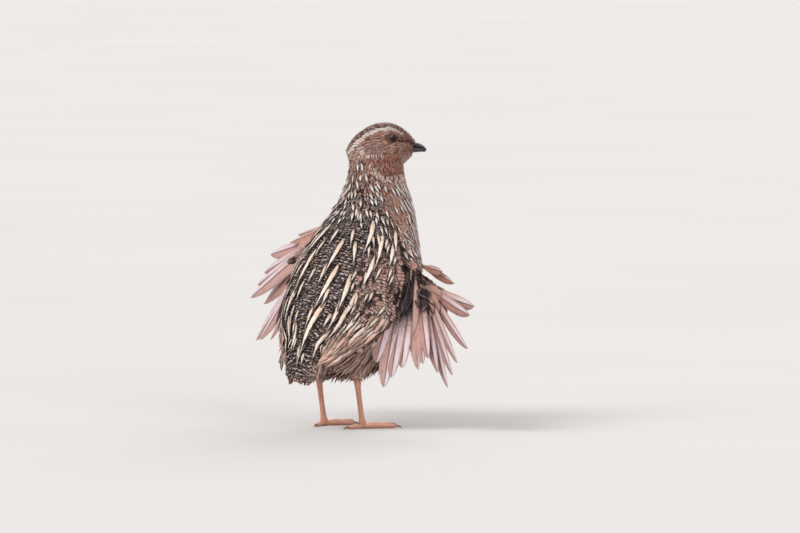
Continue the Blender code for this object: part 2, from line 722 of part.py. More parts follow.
def make_wing(name, wing, sign, parts):
    rows = feather_rows(wing, sign)
    base = add_object(name, covert_plate(name, rows, sign), parts, "plumage_wing")
    pieces = [
        arm_tube("upper_arm", [(wing["shoulder"], SHOULDER_RADIUS), (wing["elbow"], ELBOW_RADIUS)], sign),
        arm_tube("shoulder_web", [(wing["shoulder"], SHOULDER_RADIUS), (wing["wrist"], WRIST_RADIUS)], sign),
        flap_mesh("flap", sign),
    ]
    for i, (root, tip, width) in enumerate(rows):
        primary = i < PRIMARIES
        pieces.append(vane(
            f"flight_{i}", root, tip, fan_face(rows, i, sign), width,
            before_shaft(PRIMARY_LEAD if primary else SECONDARY_LEAD, sign), -SHINGLE_TURN * sign,
            FLIGHT_BOW, PRIMARY_END if primary else SECONDARY_END, 4, primary,
        ))
    for i in range(COVERTS):
        at = 1.0 + i * (len(rows) - 2.5) / (COVERTS - 1)
        j = int(at)
        t = at - j
        root = rows[j][0] * (1 - t) + rows[j + 1][0] * t
        tip = rows[j][1] * (1 - t) + rows[j + 1][1] * t
        out = fan_face(rows, j, sign)
        end = root + (tip - root) * COVERT_SHARE + out * COVERT_LIFT[1]
        pieces.append(vane(
            f"covert_{i}", root + out * COVERT_LIFT[0], end, out, COVERT_WIDTH,
            before_shaft(COVERT_LEAD, sign), -SHINGLE_TURN * sign, COVERT_BOW, COVERT_END, 3, False,
        ))
    start, *ends = (np.array(p) * (sign, 1, 1) for p in wing["alula"])
    out = fan_face(rows, 0, sign)
    for k, end in enumerate(ends):
        pieces.append(vane(
            f"alula_{k}", start - UP * k * ALULA_STEP, end, out, ALULA_WIDTH,
            before_shaft(ALULA_LEAD, sign), -ALULA_TURN * sign, ALULA_BOW, ALULA_END, 4, False,
        ))
    for k, (root, tip) in enumerate(TERTIALS):
        root, tip = np.array(root) * (sign, 1, 1), np.array(tip) * (sign, 1, 1)
        out = unit(np.array([0.85 * sign, -0.5 + 0.03 * k, 0.1]))
        pieces.append(vane(
            f"tertial_{k}", root, tip + out * TERTIAL_LIFT, out, TERTIAL_WIDTH,
            0.5, TERTIAL_TURN * sign, TERTIAL_BOW, TERTIAL_END, 3, False,
        ))
    join(base, pieces)
    cut(base, [torso_cutter()])


def make_tail(parts):
    rows = TAIL_ROWS
    start = row_step(rows, 0.0, GAP * 1.2)
    steps = 6
    stations = [start + (len(rows) - 1 - start) * i / steps for i in range(steps + 1)]
    block = loft("tail", [body_ring(between(rows, s)) for s in stations])
    tail = add_object("tail", block, parts, "plumage_back")
    root = np.array([0.0, *TAIL_ROOT])
    tip = np.array([0.0, *TAIL_TIP])
    length = np.linalg.norm(tip - root)
    along = unit(tip - root)
    side = np.array([1.0, 0.0, 0.0])
    out = np.cross(along, side)
    if out[1] > 0:
        out = -out
    pieces = []
    for i in range(TAIL_FEATHERS):
        share = i / (TAIL_FEATHERS - 1) - 0.5
        turn = math.radians(TAIL_SPREAD * share)
        way = along * math.cos(turn) + side * math.sin(turn)
        reach = length * (1 - TAIL_SHORTER * abs(share))
        level = out * (TAIL_LAYER[0] - TAIL_LAYER[1] * abs(share))
        start_at = root + side * share * TAIL_ROOT_SPREAD + level
        tilt = TAIL_TILT if share > 0 else -TAIL_TILT
        pieces.append(vane(
            f"rectrix_{i}", start_at, start_at + way * reach, out, TAIL_WIDTH,
            0.5, tilt, TAIL_BOW, TAIL_END, 4, False,
        ))
    join(tail, pieces)


def make_leg(name, sign, parts):
    thigh_rows = [(x * sign, y, z, r) for x, y, z, r in THIGH_ROWS]
    thigh = add_object(f"thigh_{name}", loft("thigh", tube_rings(thigh_rows, 20, 2)), parts, "plumage_belly")
    cut(thigh, [torso_cutter(), slab("below", 0.0, HOCK_Z + GAP)])
    shank_rows = [(x * sign, y, z, r) for x, y, z, r in SHANK_ROWS]

    def scutes(t):
        return SCUTE_STEP if int(t * 2 * SCUTE_COUNT) % 2 == 0 and 0.12 < t < 0.95 else 0.0

    rings = tube_rings(shank_rows, 10, 5, scutes)
    shank = add_object(f"shank_{name}", loft("shank", rings), parts, "leg_skin")
    cut(shank, [slab("above", HOCK_Z, 90.0), slab("under", 0.0, ANKLE_Z)])
    make_foot(name, sign, parts)


def make_foot(name, sign, parts):
    x, y, z, radius = ANKLE
    ankle = np.array([x * sign, y, z])
    foot = add_object(
        f"foot_{name}", ball_mesh("foot", ankle, radius, (1.0, 1.1, 0.8), 12, 8), parts, "leg_skin"
    )
    pieces = []
    for toe, (turn, length, thick, thin) in TOES.items():
        angle = math.radians(turn) * sign
        way = np.array([math.sin(angle), math.cos(angle), 0.0])
        rows = []
        for t in TOE_STATIONS:
            arch = TOE_ARCH * math.sin(math.pi * min(t * 1.4, 1.0))
            r = thick + (thin - thick) * t + (PAD_SWELL if t in TOE_PADS else 0.0)
            rows.append((*(ankle * (1, 1, 0) + way * length * t)[:2], r * 0.88 + arch, r))
        rings = [[(p[0], p[1], max(p[2], 0.0)) for p in ring] for ring in tube_rings(rows, 8, 1)]
        pieces.append(loft("toe", rings))
        end = ankle * (1, 1, 0) + way * (length + GAP)
        claw = []
        for t in (0.0, 0.35, 0.7, 1.0):
            r = thin * 0.78 * (1 - t) + CLAW_TIP
            claw.append((*(end + way * CLAW_LENGTH * t)[:2], thin * 0.95 + 0.3 - CLAW_HOOK * t * t, r))
        add_object(f"claw_{toe}_{name}", loft("claw", tube_rings(claw, 8, 1)), parts, "claw")
    join(foot, pieces)
    cut(foot, [slab("ceiling", ANKLE_Z - GAP, 30.0)])


def centre_on_box(parts):
    """Moves everything so that the origin lies under the middle of the whole bird's box."""
    corners = np.array([v.co for obj in parts.objects for v in obj.data.vertices])
    middle = (corners.min(0) + corners.max(0)) / 2
    for obj in parts.objects:
        obj.data.transform(Matrix.Translation((-middle[0], -middle[1], 0.0)))


def main():
    clear_scene()
    parts = new_collection("coturnix_quail")
    make_torso(parts)
    make_neck(parts)
    make_head(parts)
    make_bill(parts)
    make_tail(parts)
    make_wing("wing_right", RIGHT_WING, 1, parts)
    make_wing("wing_left", LEFT_WING, -1, parts)
    for name, sign in (("right", 1), ("left", -1)):
        make_leg(name, sign, parts)
    centre_on_box(parts)
    for obj in parts.objects:
        obj.data.shade_smooth()
        obj.data.set_sharp_from_angle(angle=math.radians(40))


main()
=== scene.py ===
import math

import bpy
import numpy as np
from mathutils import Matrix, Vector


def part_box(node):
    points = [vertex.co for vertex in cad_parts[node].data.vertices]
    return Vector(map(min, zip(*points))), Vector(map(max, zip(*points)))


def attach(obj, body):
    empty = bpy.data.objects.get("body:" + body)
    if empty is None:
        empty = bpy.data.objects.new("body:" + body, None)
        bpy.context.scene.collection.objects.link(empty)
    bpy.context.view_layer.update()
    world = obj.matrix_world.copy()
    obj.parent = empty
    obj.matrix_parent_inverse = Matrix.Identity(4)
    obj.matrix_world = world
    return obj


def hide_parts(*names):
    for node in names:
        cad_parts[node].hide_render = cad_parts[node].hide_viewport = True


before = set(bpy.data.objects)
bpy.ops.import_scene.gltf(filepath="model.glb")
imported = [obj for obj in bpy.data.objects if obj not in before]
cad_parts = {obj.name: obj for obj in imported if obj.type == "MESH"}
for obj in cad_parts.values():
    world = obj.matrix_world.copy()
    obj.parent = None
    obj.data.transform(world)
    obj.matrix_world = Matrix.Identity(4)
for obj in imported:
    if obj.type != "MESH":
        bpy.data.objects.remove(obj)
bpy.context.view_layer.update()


# Skin
# The flesh under the plumage: body, neck, head, thighs and wing arms under one thin, loose skin.
# It grows as one surface, so its parts are lofted, fused and smoothed into one closed mesh, a coat's
# depth inside the outline of the feathers, and it carries the same markings as they do.

UP = np.array([0.0, 0.0, 1.0])

# Slices across the body, from the tail's end to the top of the neck, in millimetres: back Y, back Z,
# belly Y, belly Z, half width, centre X, and the slice's turn to the bird's right in degrees
BODY = np.array([
    (-33.0, 29.0, -28.0, 24.5, 7.2, 0.0, 0.0),
    (-33.0, 34.5, -24.5, 26.5, 9.4, 0.0, 0.0),
    (-32.3, 41.0, -20.5, 29.5, 11.0, 0.0, 0.0),
    (-31.0, 47.0, -17.0, 33.0, 12.0, 0.0, 0.0),
    (-30.0, 55.5, -7.0, 30.5, 18.5, 0.0, 0.0),
    (-27.5, 63.0, 5.0, 30.5, 23.5, 0.0, 0.0),
    (-24.0, 71.0, 18.0, 33.5, 26.8, 0.0, 0.0),
    (-19.0, 79.5, 31.0, 42.0, 28.2, 0.0, 0.0),
    (-14.0, 87.5, 40.0, 55.0, 27.8, 0.0, 0.0),
    (-8.5, 95.0, 44.5, 69.5, 25.8, 0.0, 0.0),
    (-3.5, 102.0, 45.5, 83.5, 22.4, 0.2, 0.0),
    (1.5, 108.0, 44.5, 96.0, 18.6, 0.8, 5.0),
    (5.0, 113.5, 42.5, 106.5, 15.8, 1.6, 14.0),
    (7.5, 119.5, 39.0, 116.0, 13.8, 2.6, 27.0),
    (8.0, 126.0, 35.5, 125.0, 12.3, 3.6, 40.0),
    (7.5, 134.0, 34.0, 134.0, 10.5, 4.2, 48.0),
])
TAIL_SLICES = 3        # slices before the torso's own first one
BODY_POWER = 2.3       # of the superellipse that a slice is; 2 would be a plain ellipse

HEAD_TURN = math.radians(48.0)
HEAD_PIVOT = np.array([4.0, 21.0, 0.0])
PIVOT_FORWARD = 17.0   # distance along the line of sight at the pivot
AHEAD = np.array([math.sin(HEAD_TURN), math.cos(HEAD_TURN), 0.0])
RIGHT = np.array([math.cos(HEAD_TURN), -math.sin(HEAD_TURN), 0.0])
# Slices across the head: distance forward, top Z, bottom Z, half width
HEAD = np.array([
    (2.8, 138.8, 136.2, 1.6),
    (4.0, 141.3, 132.5, 4.5),
    (6.5, 144.5, 129.5, 6.9),
    (10.0, 147.5, 127.0, 8.6),
    (15.0, 150.3, 125.8, 9.6),
    (20.0, 151.4, 125.8, 9.8),
    (24.5, 151.2, 127.0, 9.5),
    (28.5, 149.8, 129.6, 8.5),
    (32.0, 147.4, 132.6, 6.7),
    (34.6, 144.9, 135.2, 4.7),
    (36.4, 142.9, 136.9, 2.9),
])
HEAD_POWER = 2.2
EYE = (25.8, 144.3)    # forward and height of the eye's centre
EYE_SIDE = 7.6         # its distance from the head's middle plane
EYE_RADIUS = 2.6

# Thigh of the right leg, down to the hock: X, Y, Z, radius
THIGH = np.array([
    (12.0, 8.0, 52.0, 10.0),
    (13.0, 5.0, 42.0, 9.4),
    (13.3, 1.0, 34.0, 7.2),
    (13.2, -1.8, 28.5, 4.4),
    (13.0, -2.8, 25.4, 2.9),
    (13.0, -2.9, 24.0, 2.8),
])
TORSO_DEPTH = 2.0      # of the coat over the skin
HEAD_DEPTH = 0.9
HEAD_SHARE = 1.03      # of the way out to the head's outline, within which the skin is the head's
VOXEL = 0.0007


def lengths(vectors):
    """Lengths of vectors."""
    return np.linalg.norm(vectors, axis=-1)


def unit(vectors):
    """Vectors divided by their own lengths."""
    return vectors / np.maximum(lengths(vectors)[..., None], 1e-9)


def spokes(way, angle):
    """Directions square to a way, at angles round it that start from the level one."""
    side = unit(np.cross(way, UP))
    return side * np.cos(angle)[..., None] + np.cross(side, way) * np.sin(angle)[..., None]


def grid_of(down, across):
    """Two grids from two rows of values, one that changes down the grid and one across it."""
    return np.meshgrid(down, across, indexing="ij")


def once_round(count):
    """Angles evenly round a full turn."""
    return np.linspace(0, math.tau, count, endpoint=False)


def along_rows(rows, at):
    """Values at fractional row numbers: a Catmull-Rom curve inside the table, straight on beyond it."""
    at = np.asarray(at, float)
    held = np.clip(at, 0, len(rows) - 1)
    padded = np.vstack([2 * rows[0] - rows[1], rows, 2 * rows[-1] - rows[-2]])
    first = np.minimum(held.astype(int), len(rows) - 2)
    t = (held - first)[..., None]
    a, b, c, d = (padded[first + k] for k in range(4))
    curve = 0.5 * (
        2 * b + (c - a) * t + (2 * a - 5 * b + 4 * c - d) * t * t + (3 * b - a - 3 * c + d) * t ** 3
    )
    slope = np.where((at > held)[..., None], rows[-1] - rows[-2], rows[1] - rows[0])
    return curve + slope * (at - held)[..., None]


def outline(angle, power):
    """Cosine and sine of an angle, pushed out onto a superellipse of that power."""
    x, y = np.cos(angle), np.sin(angle)
    bulge = (abs(x) ** power + abs(y) ** power) ** (-1 / power)
    return x * bulge, y * bulge


def way_out(x, y, power):
    """How far out a point lies, as a share of the way to that superellipse."""
    return (abs(x) ** power + abs(y) ** power) ** (1 / power)


def body_slices(at):
    """Middle, side and rise directions, half width and half depth of the body's slices."""
    row = along_rows(BODY, at)
    none = np.zeros(row.shape[:-1])
    back = np.stack([none, row[..., 0], row[..., 1]], -1)
    belly = np.stack([none, row[..., 2], row[..., 3]], -1)
    rise = unit(back - belly)
    turn = np.radians(row[..., 6])
    cos, sin = np.cos(turn), np.sin(turn)
    rise = np.stack([rise[..., 1] * sin, rise[..., 1] * cos, rise[..., 2]], -1)
    side = np.stack([cos, -sin, none], -1)
    middle = (back + belly) / 2
    middle[..., 0] = row[..., 5]
    return middle, side, rise, row[..., 4], lengths(back - belly) / 2


def body_surface(at, angle):
    """The plumage's outline: at slice at, the superellipse point at that angle from the right side."""
    middle, side, rise, half, depth = body_slices(at)
    x, y = (v[..., None] for v in outline(angle, BODY_POWER))
    return middle + side * x * half[..., None] + rise * y * depth[..., None]


def head_point(forward, side, height):
    """A point given along the line of sight, to the head's right, and up."""
    forward, side, height = (np.asarray(v, float)[..., None] for v in (forward, side, height))
    return HEAD_PIVOT + AHEAD * (forward - PIVOT_FORWARD) + RIGHT * side + UP * height


def head_slices(rows, at):
    """Distance forward, middle height, half height and half width of slices across the line of sight."""
    row = along_rows(rows, at)
    return row[..., 0], (row[..., 1] + row[..., 2]) / 2, (row[..., 1] - row[..., 2]) / 2, row[..., 3]


def head_surface(at, angle):
    """The head's outline: an upright superellipse across the line of sight at slice at."""
    forward, middle, half, wide = head_slices(HEAD, at)
    x, y = outline(angle, HEAD_POWER)
    return head_point(forward, x * wide, middle + y * half)


def thigh_surface(sign):
    """A thigh as level rings round the line of its rows. Down the thigh is the way u falls."""
    def surface(u, angle):
        row = along_rows(THIGH, -np.asarray(u))
        ring = np.stack([np.cos(angle), np.sin(angle), np.zeros(np.shape(angle))], -1)
        return row[..., :3] * (sign, 1, 1) + ring * row[..., 3:4]
    surface.turn = -1
    return surface


def normals(surface, u, v):
    """Outward normals, square to a surface's two slopes, turned round where its turn is -1."""
    step = 0.02
    down = surface(u + step, v) - surface(u - step, v)
    across = surface(u, v + step) - surface(u, v - step)
    return unit(np.cross(down, across)) * getattr(surface, "turn", 1)


# The wing bones, half open. X counts away from the body. Flight feathers 0 to 9 are the primaries
# from the outermost in, and 10 to 14 the secondaries; a tip row starts with its feather's number.
# The alula has one root and two tips. Quills are slim lone feathers, each from its root to its tip
WINGS = {
    "right": {
        "sign": 1,
        "shoulder": (17.0, 22.0, 93.0),
        "elbow": (31.0, 1.0, 72.0),
        "wrist": (32.5, 19.0, 79.0),
        "hand": (41.5, 19.0, 70.5),
        "tips": [
            (0, 86.0, 2.0, 64.5),
            (1, 83.0, 2.0, 60.0),
            (2, 79.0, 5.0, 43.0),
            (3, 72.5, 4.8, 35.7),
            (5, 63.7, 7.6, 22.8),
            (7, 54.0, 4.3, 37.0),
            (9, 47.0, 4.5, 31.0),
            (10, 39.0, 1.5, 31.5),
            (11, 36.0, -3.0, 27.0),
            (12, 33.0, -5.4, 22.0),
            (13, 28.5, -6.0, 34.1),
            (14, 27.0, -7.9, 41.7),
        ],
        "alula": [(34.0, 21.0, 82.0), (58.5, 18.5, 73.5), (52.0, 17.0, 79.3)],
        "dark": [0.16, 0.4, 0.6, 0.66, 0.6, 0.4],
        "quills": [((36.2, 14.4, 78.5), (41.6, 6.2, 48.0))],
    },
    "left": {
        "sign": -1,
        "shoulder": (17.0, 22.0, 93.0),
        "elbow": (30.0, 3.0, 84.0),
        "wrist": (29.0, 26.0, 100.0),
        "hand": (36.0, 25.0, 92.0),
        "tips": [
            (0, 80.0, 33.0, 81.8),
            (1, 82.0, 30.5, 72.5),
            (3, 84.0, 22.3, 60.0),
            (4, 77.0, 25.0, 57.0),
            (5, 72.0, 13.5, 39.0),
            (6, 68.5, 13.0, 39.5),
            (8, 50.0, 8.5, 41.0),
            (10, 40.0, 1.0, 43.0),
            (12, 36.0, -7.0, 45.0),
            (14, 32.0, -15.0, 50.0),
        ],
        "alula": [(29.0, 27.0, 101.0), (60.0, 26.3, 89.0), (56.0, 27.8, 93.0)],
        "dark": [0.16, 0.2, 0.3, 0.5, 0.5, 0.5],
    },
}
# A flight feather's dark root is painted shade, cast by the coverts over it
DARK_FEATHERS = [0, 3, 6, 9, 13, 14]      # at which "dark" says how far a feather is dark from its root
PRIMARIES = 10
FLIGHT_FEATHERS = 15
ARM_THICK = 4.3
ARM_START = -3.6       # of the fleshy arm, before the feathers' roots
ARM_REACH = 13.0       # and how far it runs out along them


def flight_rows(wing):
    """Root and tip of each flight feather, from the outermost primary in, and the fan's backward side."""
    flip = (wing["sign"], 1, 1)
    hand, wrist, elbow = (np.array(wing[k]) for k in ("hand", "wrist", "elbow"))
    number = np.arange(FLIGHT_FEATHERS)
    on_hand = (number / PRIMARIES)[:, None]
    on_arm = ((number - PRIMARIES + 0.4) / (FLIGHT_FEATHERS - PRIMARIES))[:, None]
    roots = np.where(
        number[:, None] < PRIMARIES, hand + (wrist - hand) * on_hand, wrist + (elbow - wrist) * on_arm
    ) * flip
    table = np.array(wing["tips"])
    tips = np.stack([np.interp(number, table[:, 0], table[:, k]) for k in (1, 2, 3)], -1) * flip
    both = roots + tips
    first, last = np.maximum(number - 3, 0), np.minimum(number + 3, FLIGHT_FEATHERS - 1)
    faces = unit(np.cross(both[last] - both[first], tips - roots) * wing["sign"])
    return roots, tips, faces


def arm_surface(wing, face):
    """One side of the wing's arm: u runs back along the feathers, v is a feather's number."""
    roots, tips, outs = flight_rows(wing)
    ways = unit(tips - roots)

    def surface(u, number):
        out = np.asarray(-u, float)
        root, way, side = (along_rows(rows, number) for rows in (roots, ways, outs))
        share = np.clip(2 * (out - ARM_START) / (ARM_REACH - ARM_START) - 1, -1, 1)
        lens = (0.6 - 0.36 * share) * np.sqrt(1 - share ** 2) * ARM_THICK
        return root + way * out[..., None] + side * (face * lens)[..., None]
    surface.turn = face * wing["sign"]
    return surface


# The flap of scapulars over the folded arm, from the shoulder down: a point under the back's
# surface, a point on the free edge, and how far it bows outward between them
FLAP_INNER = np.array([
    (10.0, -4.0, 96.0), (14.0, -8.0, 88.0), (16.0, -13.0, 80.0), (17.0, -17.0, 71.0),
    (17.0, -20.0, 63.0), (16.0, -23.0, 55.0), (14.0, -25.0, 48.0), (12.0, -26.0, 42.0),
])
FLAP_EDGE = np.array([
    (24.5, 14.0, 95.0), (30.5, 10.0, 85.5), (34.0, 8.6, 79.0), (34.6, 7.3, 70.0),
    (34.3, 5.0, 62.0), (33.0, -1.0, 54.0), (30.0, -9.0, 47.0), (24.0, -17.0, 41.0),
])
FLAP_BOW = np.array([[1.0], [1.8], [2.4], [2.6], [2.6], [2.4], [1.8], [1.0]])


def flap_surface(sign, sunk=0.0):
    """The flap's outer side: u falls from the shoulder down, v runs from under the back to its edge."""
    def surface(u, v):
        row = -np.asarray(u, float)
        v = np.asarray(v, float)[..., None]
        inner = along_rows(FLAP_INNER, row) * (sign, 1, 1)
        edge = along_rows(FLAP_EDGE, row) * (sign, 1, 1)
        out = unit(np.cross(edge - inner, UP)) * sign
        bow = along_rows(FLAP_BOW, row) * 4 * v * (1 - v)
        return inner + (edge - inner) * v + out * (bow + 0.45 - sunk * (1 + 2.2 * (1 - v)))
    surface.turn = -sign
    return surface


# The model's origin lies under the middle of the whole bird, and that of the tables between its feet
eye_middle = (
    sum(np.array(corner) for name in ("eye_left", "eye_right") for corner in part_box(name)) / 4 * 1000
)
SHIFT = (eye_middle - head_point(EYE[0], 0.0, EYE[1])) * (1, 1, 0)


def in_metres(points):
    """Working points in millimetres, as places in the model's frame."""
    return (points + SHIFT) * 0.001


def faced_out(points, quads):
    """Quads of a closed form, turned round if the volume inside them comes out negative."""
    a, b, c, d = (points[quads[:, k]] for k in range(4))
    volume = (a * np.cross(b, c)).sum() + (a * np.cross(c, d)).sum()
    return quads if volume > 0 else quads[:, ::-1]


def ring_quads(count, sides, looped=False):
    """Quads between neighbours in count rings of points, and from the last to the first if looped."""
    k, i = grid_of(np.arange(count if looped else count - 1), np.arange(sides))
    n, j = (k + 1) % count, (i + 1) % sides
    return np.stack([k * sides + i, k * sides + j, n * sides + j, n * sides + i], -1).reshape(-1, 4)


def tube(rings):
    """Points and faces of a closed skin over a grid of rings, each end closed by a fan."""
    count, sides = rings.shape[:2]
    points = np.vstack([rings.reshape(-1, 3), rings[0].mean(0), rings[-1].mean(0)])
    quads = ring_quads(count, sides)
    i = np.arange(sides)
    j = (i + 1) % sides
    top = (count - 1) * sides
    low = np.stack([j, i, np.full(sides, count * sides)], -1)
    high = np.stack([top + i, top + j, np.full(sides, count * sides + 1)], -1)
    turn = 1 if faced_out(points - points.mean(0), quads) is quads else -1
    return points, quads[:, ::turn].tolist() + np.vstack([low, high])[:, ::turn].tolist()


def tubes(parts):
    """Points and faces of several closed tubes together."""
    points, faces = [], []
    for rings in parts:
        start = sum(len(p) for p in points)
        more, fresh = tube(rings)
        points.append(more)
        faces += [[start + i for i in face] for face in fresh]
    return np.vstack(points), faces


def placed(name, data):
    """A new object in the scene, which holds a mesh, lamp or camera."""
    thing = bpy.data.objects.new(name, data)
    bpy.context.scene.collection.objects.link(thing)
    return thing


def piece_from(name, points, faces, finish, replaced=()):
    """A piece of the bird, from points in millimetres, set in the model's frame and riding on it."""
    mesh = bpy.data.meshes.new(name)
    mesh.from_pydata(in_metres(points).tolist(), [], faces)
    mesh.polygons.foreach_set("use_smooth", np.ones(len(mesh.polygons), bool))
    mesh.materials.append(finish)
    piece = placed(name, mesh)
    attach(piece, "root")
    if replaced:
        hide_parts(*replaced)
    return piece


def spots_on(piece, **named):
    """Writes named values at each point of a piece: rows of three as vectors, rows of four as colours."""
    for name, rows in named.items():
        kind, key = ("FLOAT_COLOR", "color") if rows.shape[1] == 4 else ("FLOAT_VECTOR", "vector")
        attribute = piece.data.attributes.new(name, kind, "POINT")
        attribute.data.foreach_set(key, np.ascontiguousarray(rows, np.float32).ravel())


def unwrap_on(piece, places):
    """Writes the unwrap that a bake uses, from the place of each point."""
    corner = np.empty(len(piece.data.loops), np.int32)
    piece.data.loops.foreach_get("vertex_index", corner)
    unwrap = piece.data.uv_layers.new(name="OFBake")
    unwrap.data.foreach_set("uv", places[corner].astype(np.float32).ravel())


def shade(red, green, blue):
    """A colour as a paint chart gives it, 0 to 255, made linear."""
    chart = np.array([red, green, blue]) / 255
    return np.where(chart <= 0.04045, chart / 12.92, ((chart + 0.055) / 1.055) ** 2.4)


def ramp(value, low, high):
    """0 below low, 1 above high, and a smooth rise between."""
    t = np.clip((value - low) / (high - low), 0, 1)
    return t * t * (3 - 2 * t)


def layered(ground, *layers):
    """A colour with others laid over it in turn, each given with its share from 0 to 1."""
    for colour, share in layers:
        ground = ground + (colour - ground) * np.asarray(share)[..., None]
    return ground


BLACK = shade(38, 28, 30)
MANTLE = shade(122, 94, 84)
LILAC = shade(164, 144, 148)
NAPE = shade(200, 148, 126)
CREAM = shade(255, 240, 226)
WHITE = shade(255, 249, 245)
RUFOUS = shade(224, 158, 136)
PINK_BROWN = shade(240, 186, 174)
FLANK = shade(234, 172, 148)
BUFF = shade(255, 218, 202)
PALE_BELLY = shade(252, 228, 212)
PANEL = shade(206, 162, 150)
GREY_BROWN = shade(176, 142, 138)
CHEEK = shade(188, 122, 102)
THROAT = shade(158, 90, 68)
CROWN = shade(132, 92, 82)

# What each feather wears: its ground, the colour of its marks, and how strong each mark is, from 0
# to 1: streak, bars, fringe and blotch. A whole number added to the strength of bars makes them finer.
# The two numbers are the columns of the first and the last strength
STREAK, BLOTCH = 6, 9


def worn(ground, mark=CREAM, streak=0.0, bars=0.0, fringe=0.0, blotch=0.0):
    """What feathers wear: the ground's colour, the marks' colour and the marks' strengths. Each is one
    for all of the feathers, or one for each."""
    *marks, _ = np.broadcast_arrays(streak, bars, fringe, blotch, ground[..., 0])
    colours = [np.broadcast_to(colour, (*marks[0].shape, 3)) for colour in (ground, mark)]
    return np.concatenate([*colours, np.stack(marks, -1)], -1)


def body_plumage(at, angle, luck):
    """Markings of the body by slice and angle. luck, two numbers from 0 to 1, tells feathers apart."""
    row = at - TAIL_SLICES
    up = np.sin(angle)
    first, second = luck[..., 0], luck[..., 1]
    fore = ramp(row, 4.0, 6.5)
    neck = ramp(row, 7.0, 8.2)
    back = ramp(up, 0.02, 0.38) * (1 - ramp(row, 7.6, 9.6))
    belly = ramp(-up, 0.35, 0.85) * (1 - ramp(row, 2.5, 7.5))
    breast = fore * (1 - back) * (1 - belly)
    flank = (1 - back) * (1 - fore) * (1 - belly)
    column = ramp(np.sin(angle * 11 + row * 0.8) + 1.4 * (second - 0.5), -0.1, 0.7)
    spotted = ramp(up, 0.15, 0.5) * ramp(row, 5.8, 7.2) * (1 - ramp(row, 10.2, 11.6))
    side = ramp(up, -0.3, 0.2)
    ground = layered(
        FLANK,
        (PINK_BROWN, fore),
        (RUFOUS, ramp(row, 6.8, 8.4) * ramp(up, -0.75, 0.1)),
        (PALE_BELLY, belly),
        (BUFF, (1 - ramp(row, 0.6, 1.8)) * ramp(-up, 0.0, 0.5)),
        (NAPE, ramp(up, -0.1, 0.5) * ramp(row, 7.6, 9.4)),
        (layered(MANTLE, (LILAC, 0.85 * column), (BLACK, 0.8 * (first < 0.3))), back),
        (BLACK, 0.95 * spotted * (second > 0.5)),
        (BLACK, 0.8 * side * ramp(row, 6.5, 7.4) * (second > 0.84)),
        (shade(244, 220, 202), 0.9 * side * ramp(row, 9.6, 10.8) * (first > 0.74)),
    )
    streak = np.maximum(neck * 0.2 * (first > 0.8), breast * 0.18 * (first > 0.6))
    streak = np.maximum(streak, flank * 0.26 * (first > 0.5))
    bars = np.maximum(back * np.minimum(0.55 + 0.7 * first, 0.98), flank * 0.3 * (second > 0.5))
    fringe = 0.35 * flank + 0.3 * belly + 0.45 * neck * (first > 0.35) + 0.4 * breast * (second > 0.5)
    blotch = 0.15 * back + 0.4 * flank + 0.25 * neck
    return worn(ground, CREAM, streak, bars + (back > 0.5), fringe, blotch)


# Markings of the head's side as lines of forward and height: the pale brow, the pale crescent behind
# the cheek, the dark line from eye to bill, the pale one under it, and the line down from the gape
BROW_LINE = np.array([
    (4.4, 137.0), (7.0, 140.6), (10.0, 143.4), (15.0, 146.8), (20.0, 148.5), (25.0, 148.9), (28.6, 147.6),
    (31.5, 145.6),
])
CRESCENT_LINE = np.array([
    (12.35, 139.8), (12.4, 136.8), (13.0, 132.9), (15.4, 129.4), (19.2, 126.8), (22.5, 125.7), (25.5, 125.9),
    (29.0, 126.8),
])
LORE_LINE = np.array([(29.2, 143.2), (32.5, 143.0), (36.6, 141.0)])
UNDER_LORE = np.array([(29.5, 141.0), (35.8, 140.0)])
GAPE_LINE = np.array([(34.5, 138.4), (30.5, 136.0), (26.5, 132.0)])


def line_distance(forward, height, line):
    """Distance of points from a line of short straight runs."""
    place = np.stack([forward, height], -1)[..., None, :]
    start, run = line[:-1], line[1:] - line[:-1]
    t = np.clip(((place - start) * run).sum(-1) / (run * run).sum(-1), 0, 1)
    return lengths(place - start - run * t[..., None]).min(-1)


def height_on(line, forward):
    """Height of a line of the head's side at a distance forward."""
    return np.interp(forward, line[:, 0], line[:, 1])


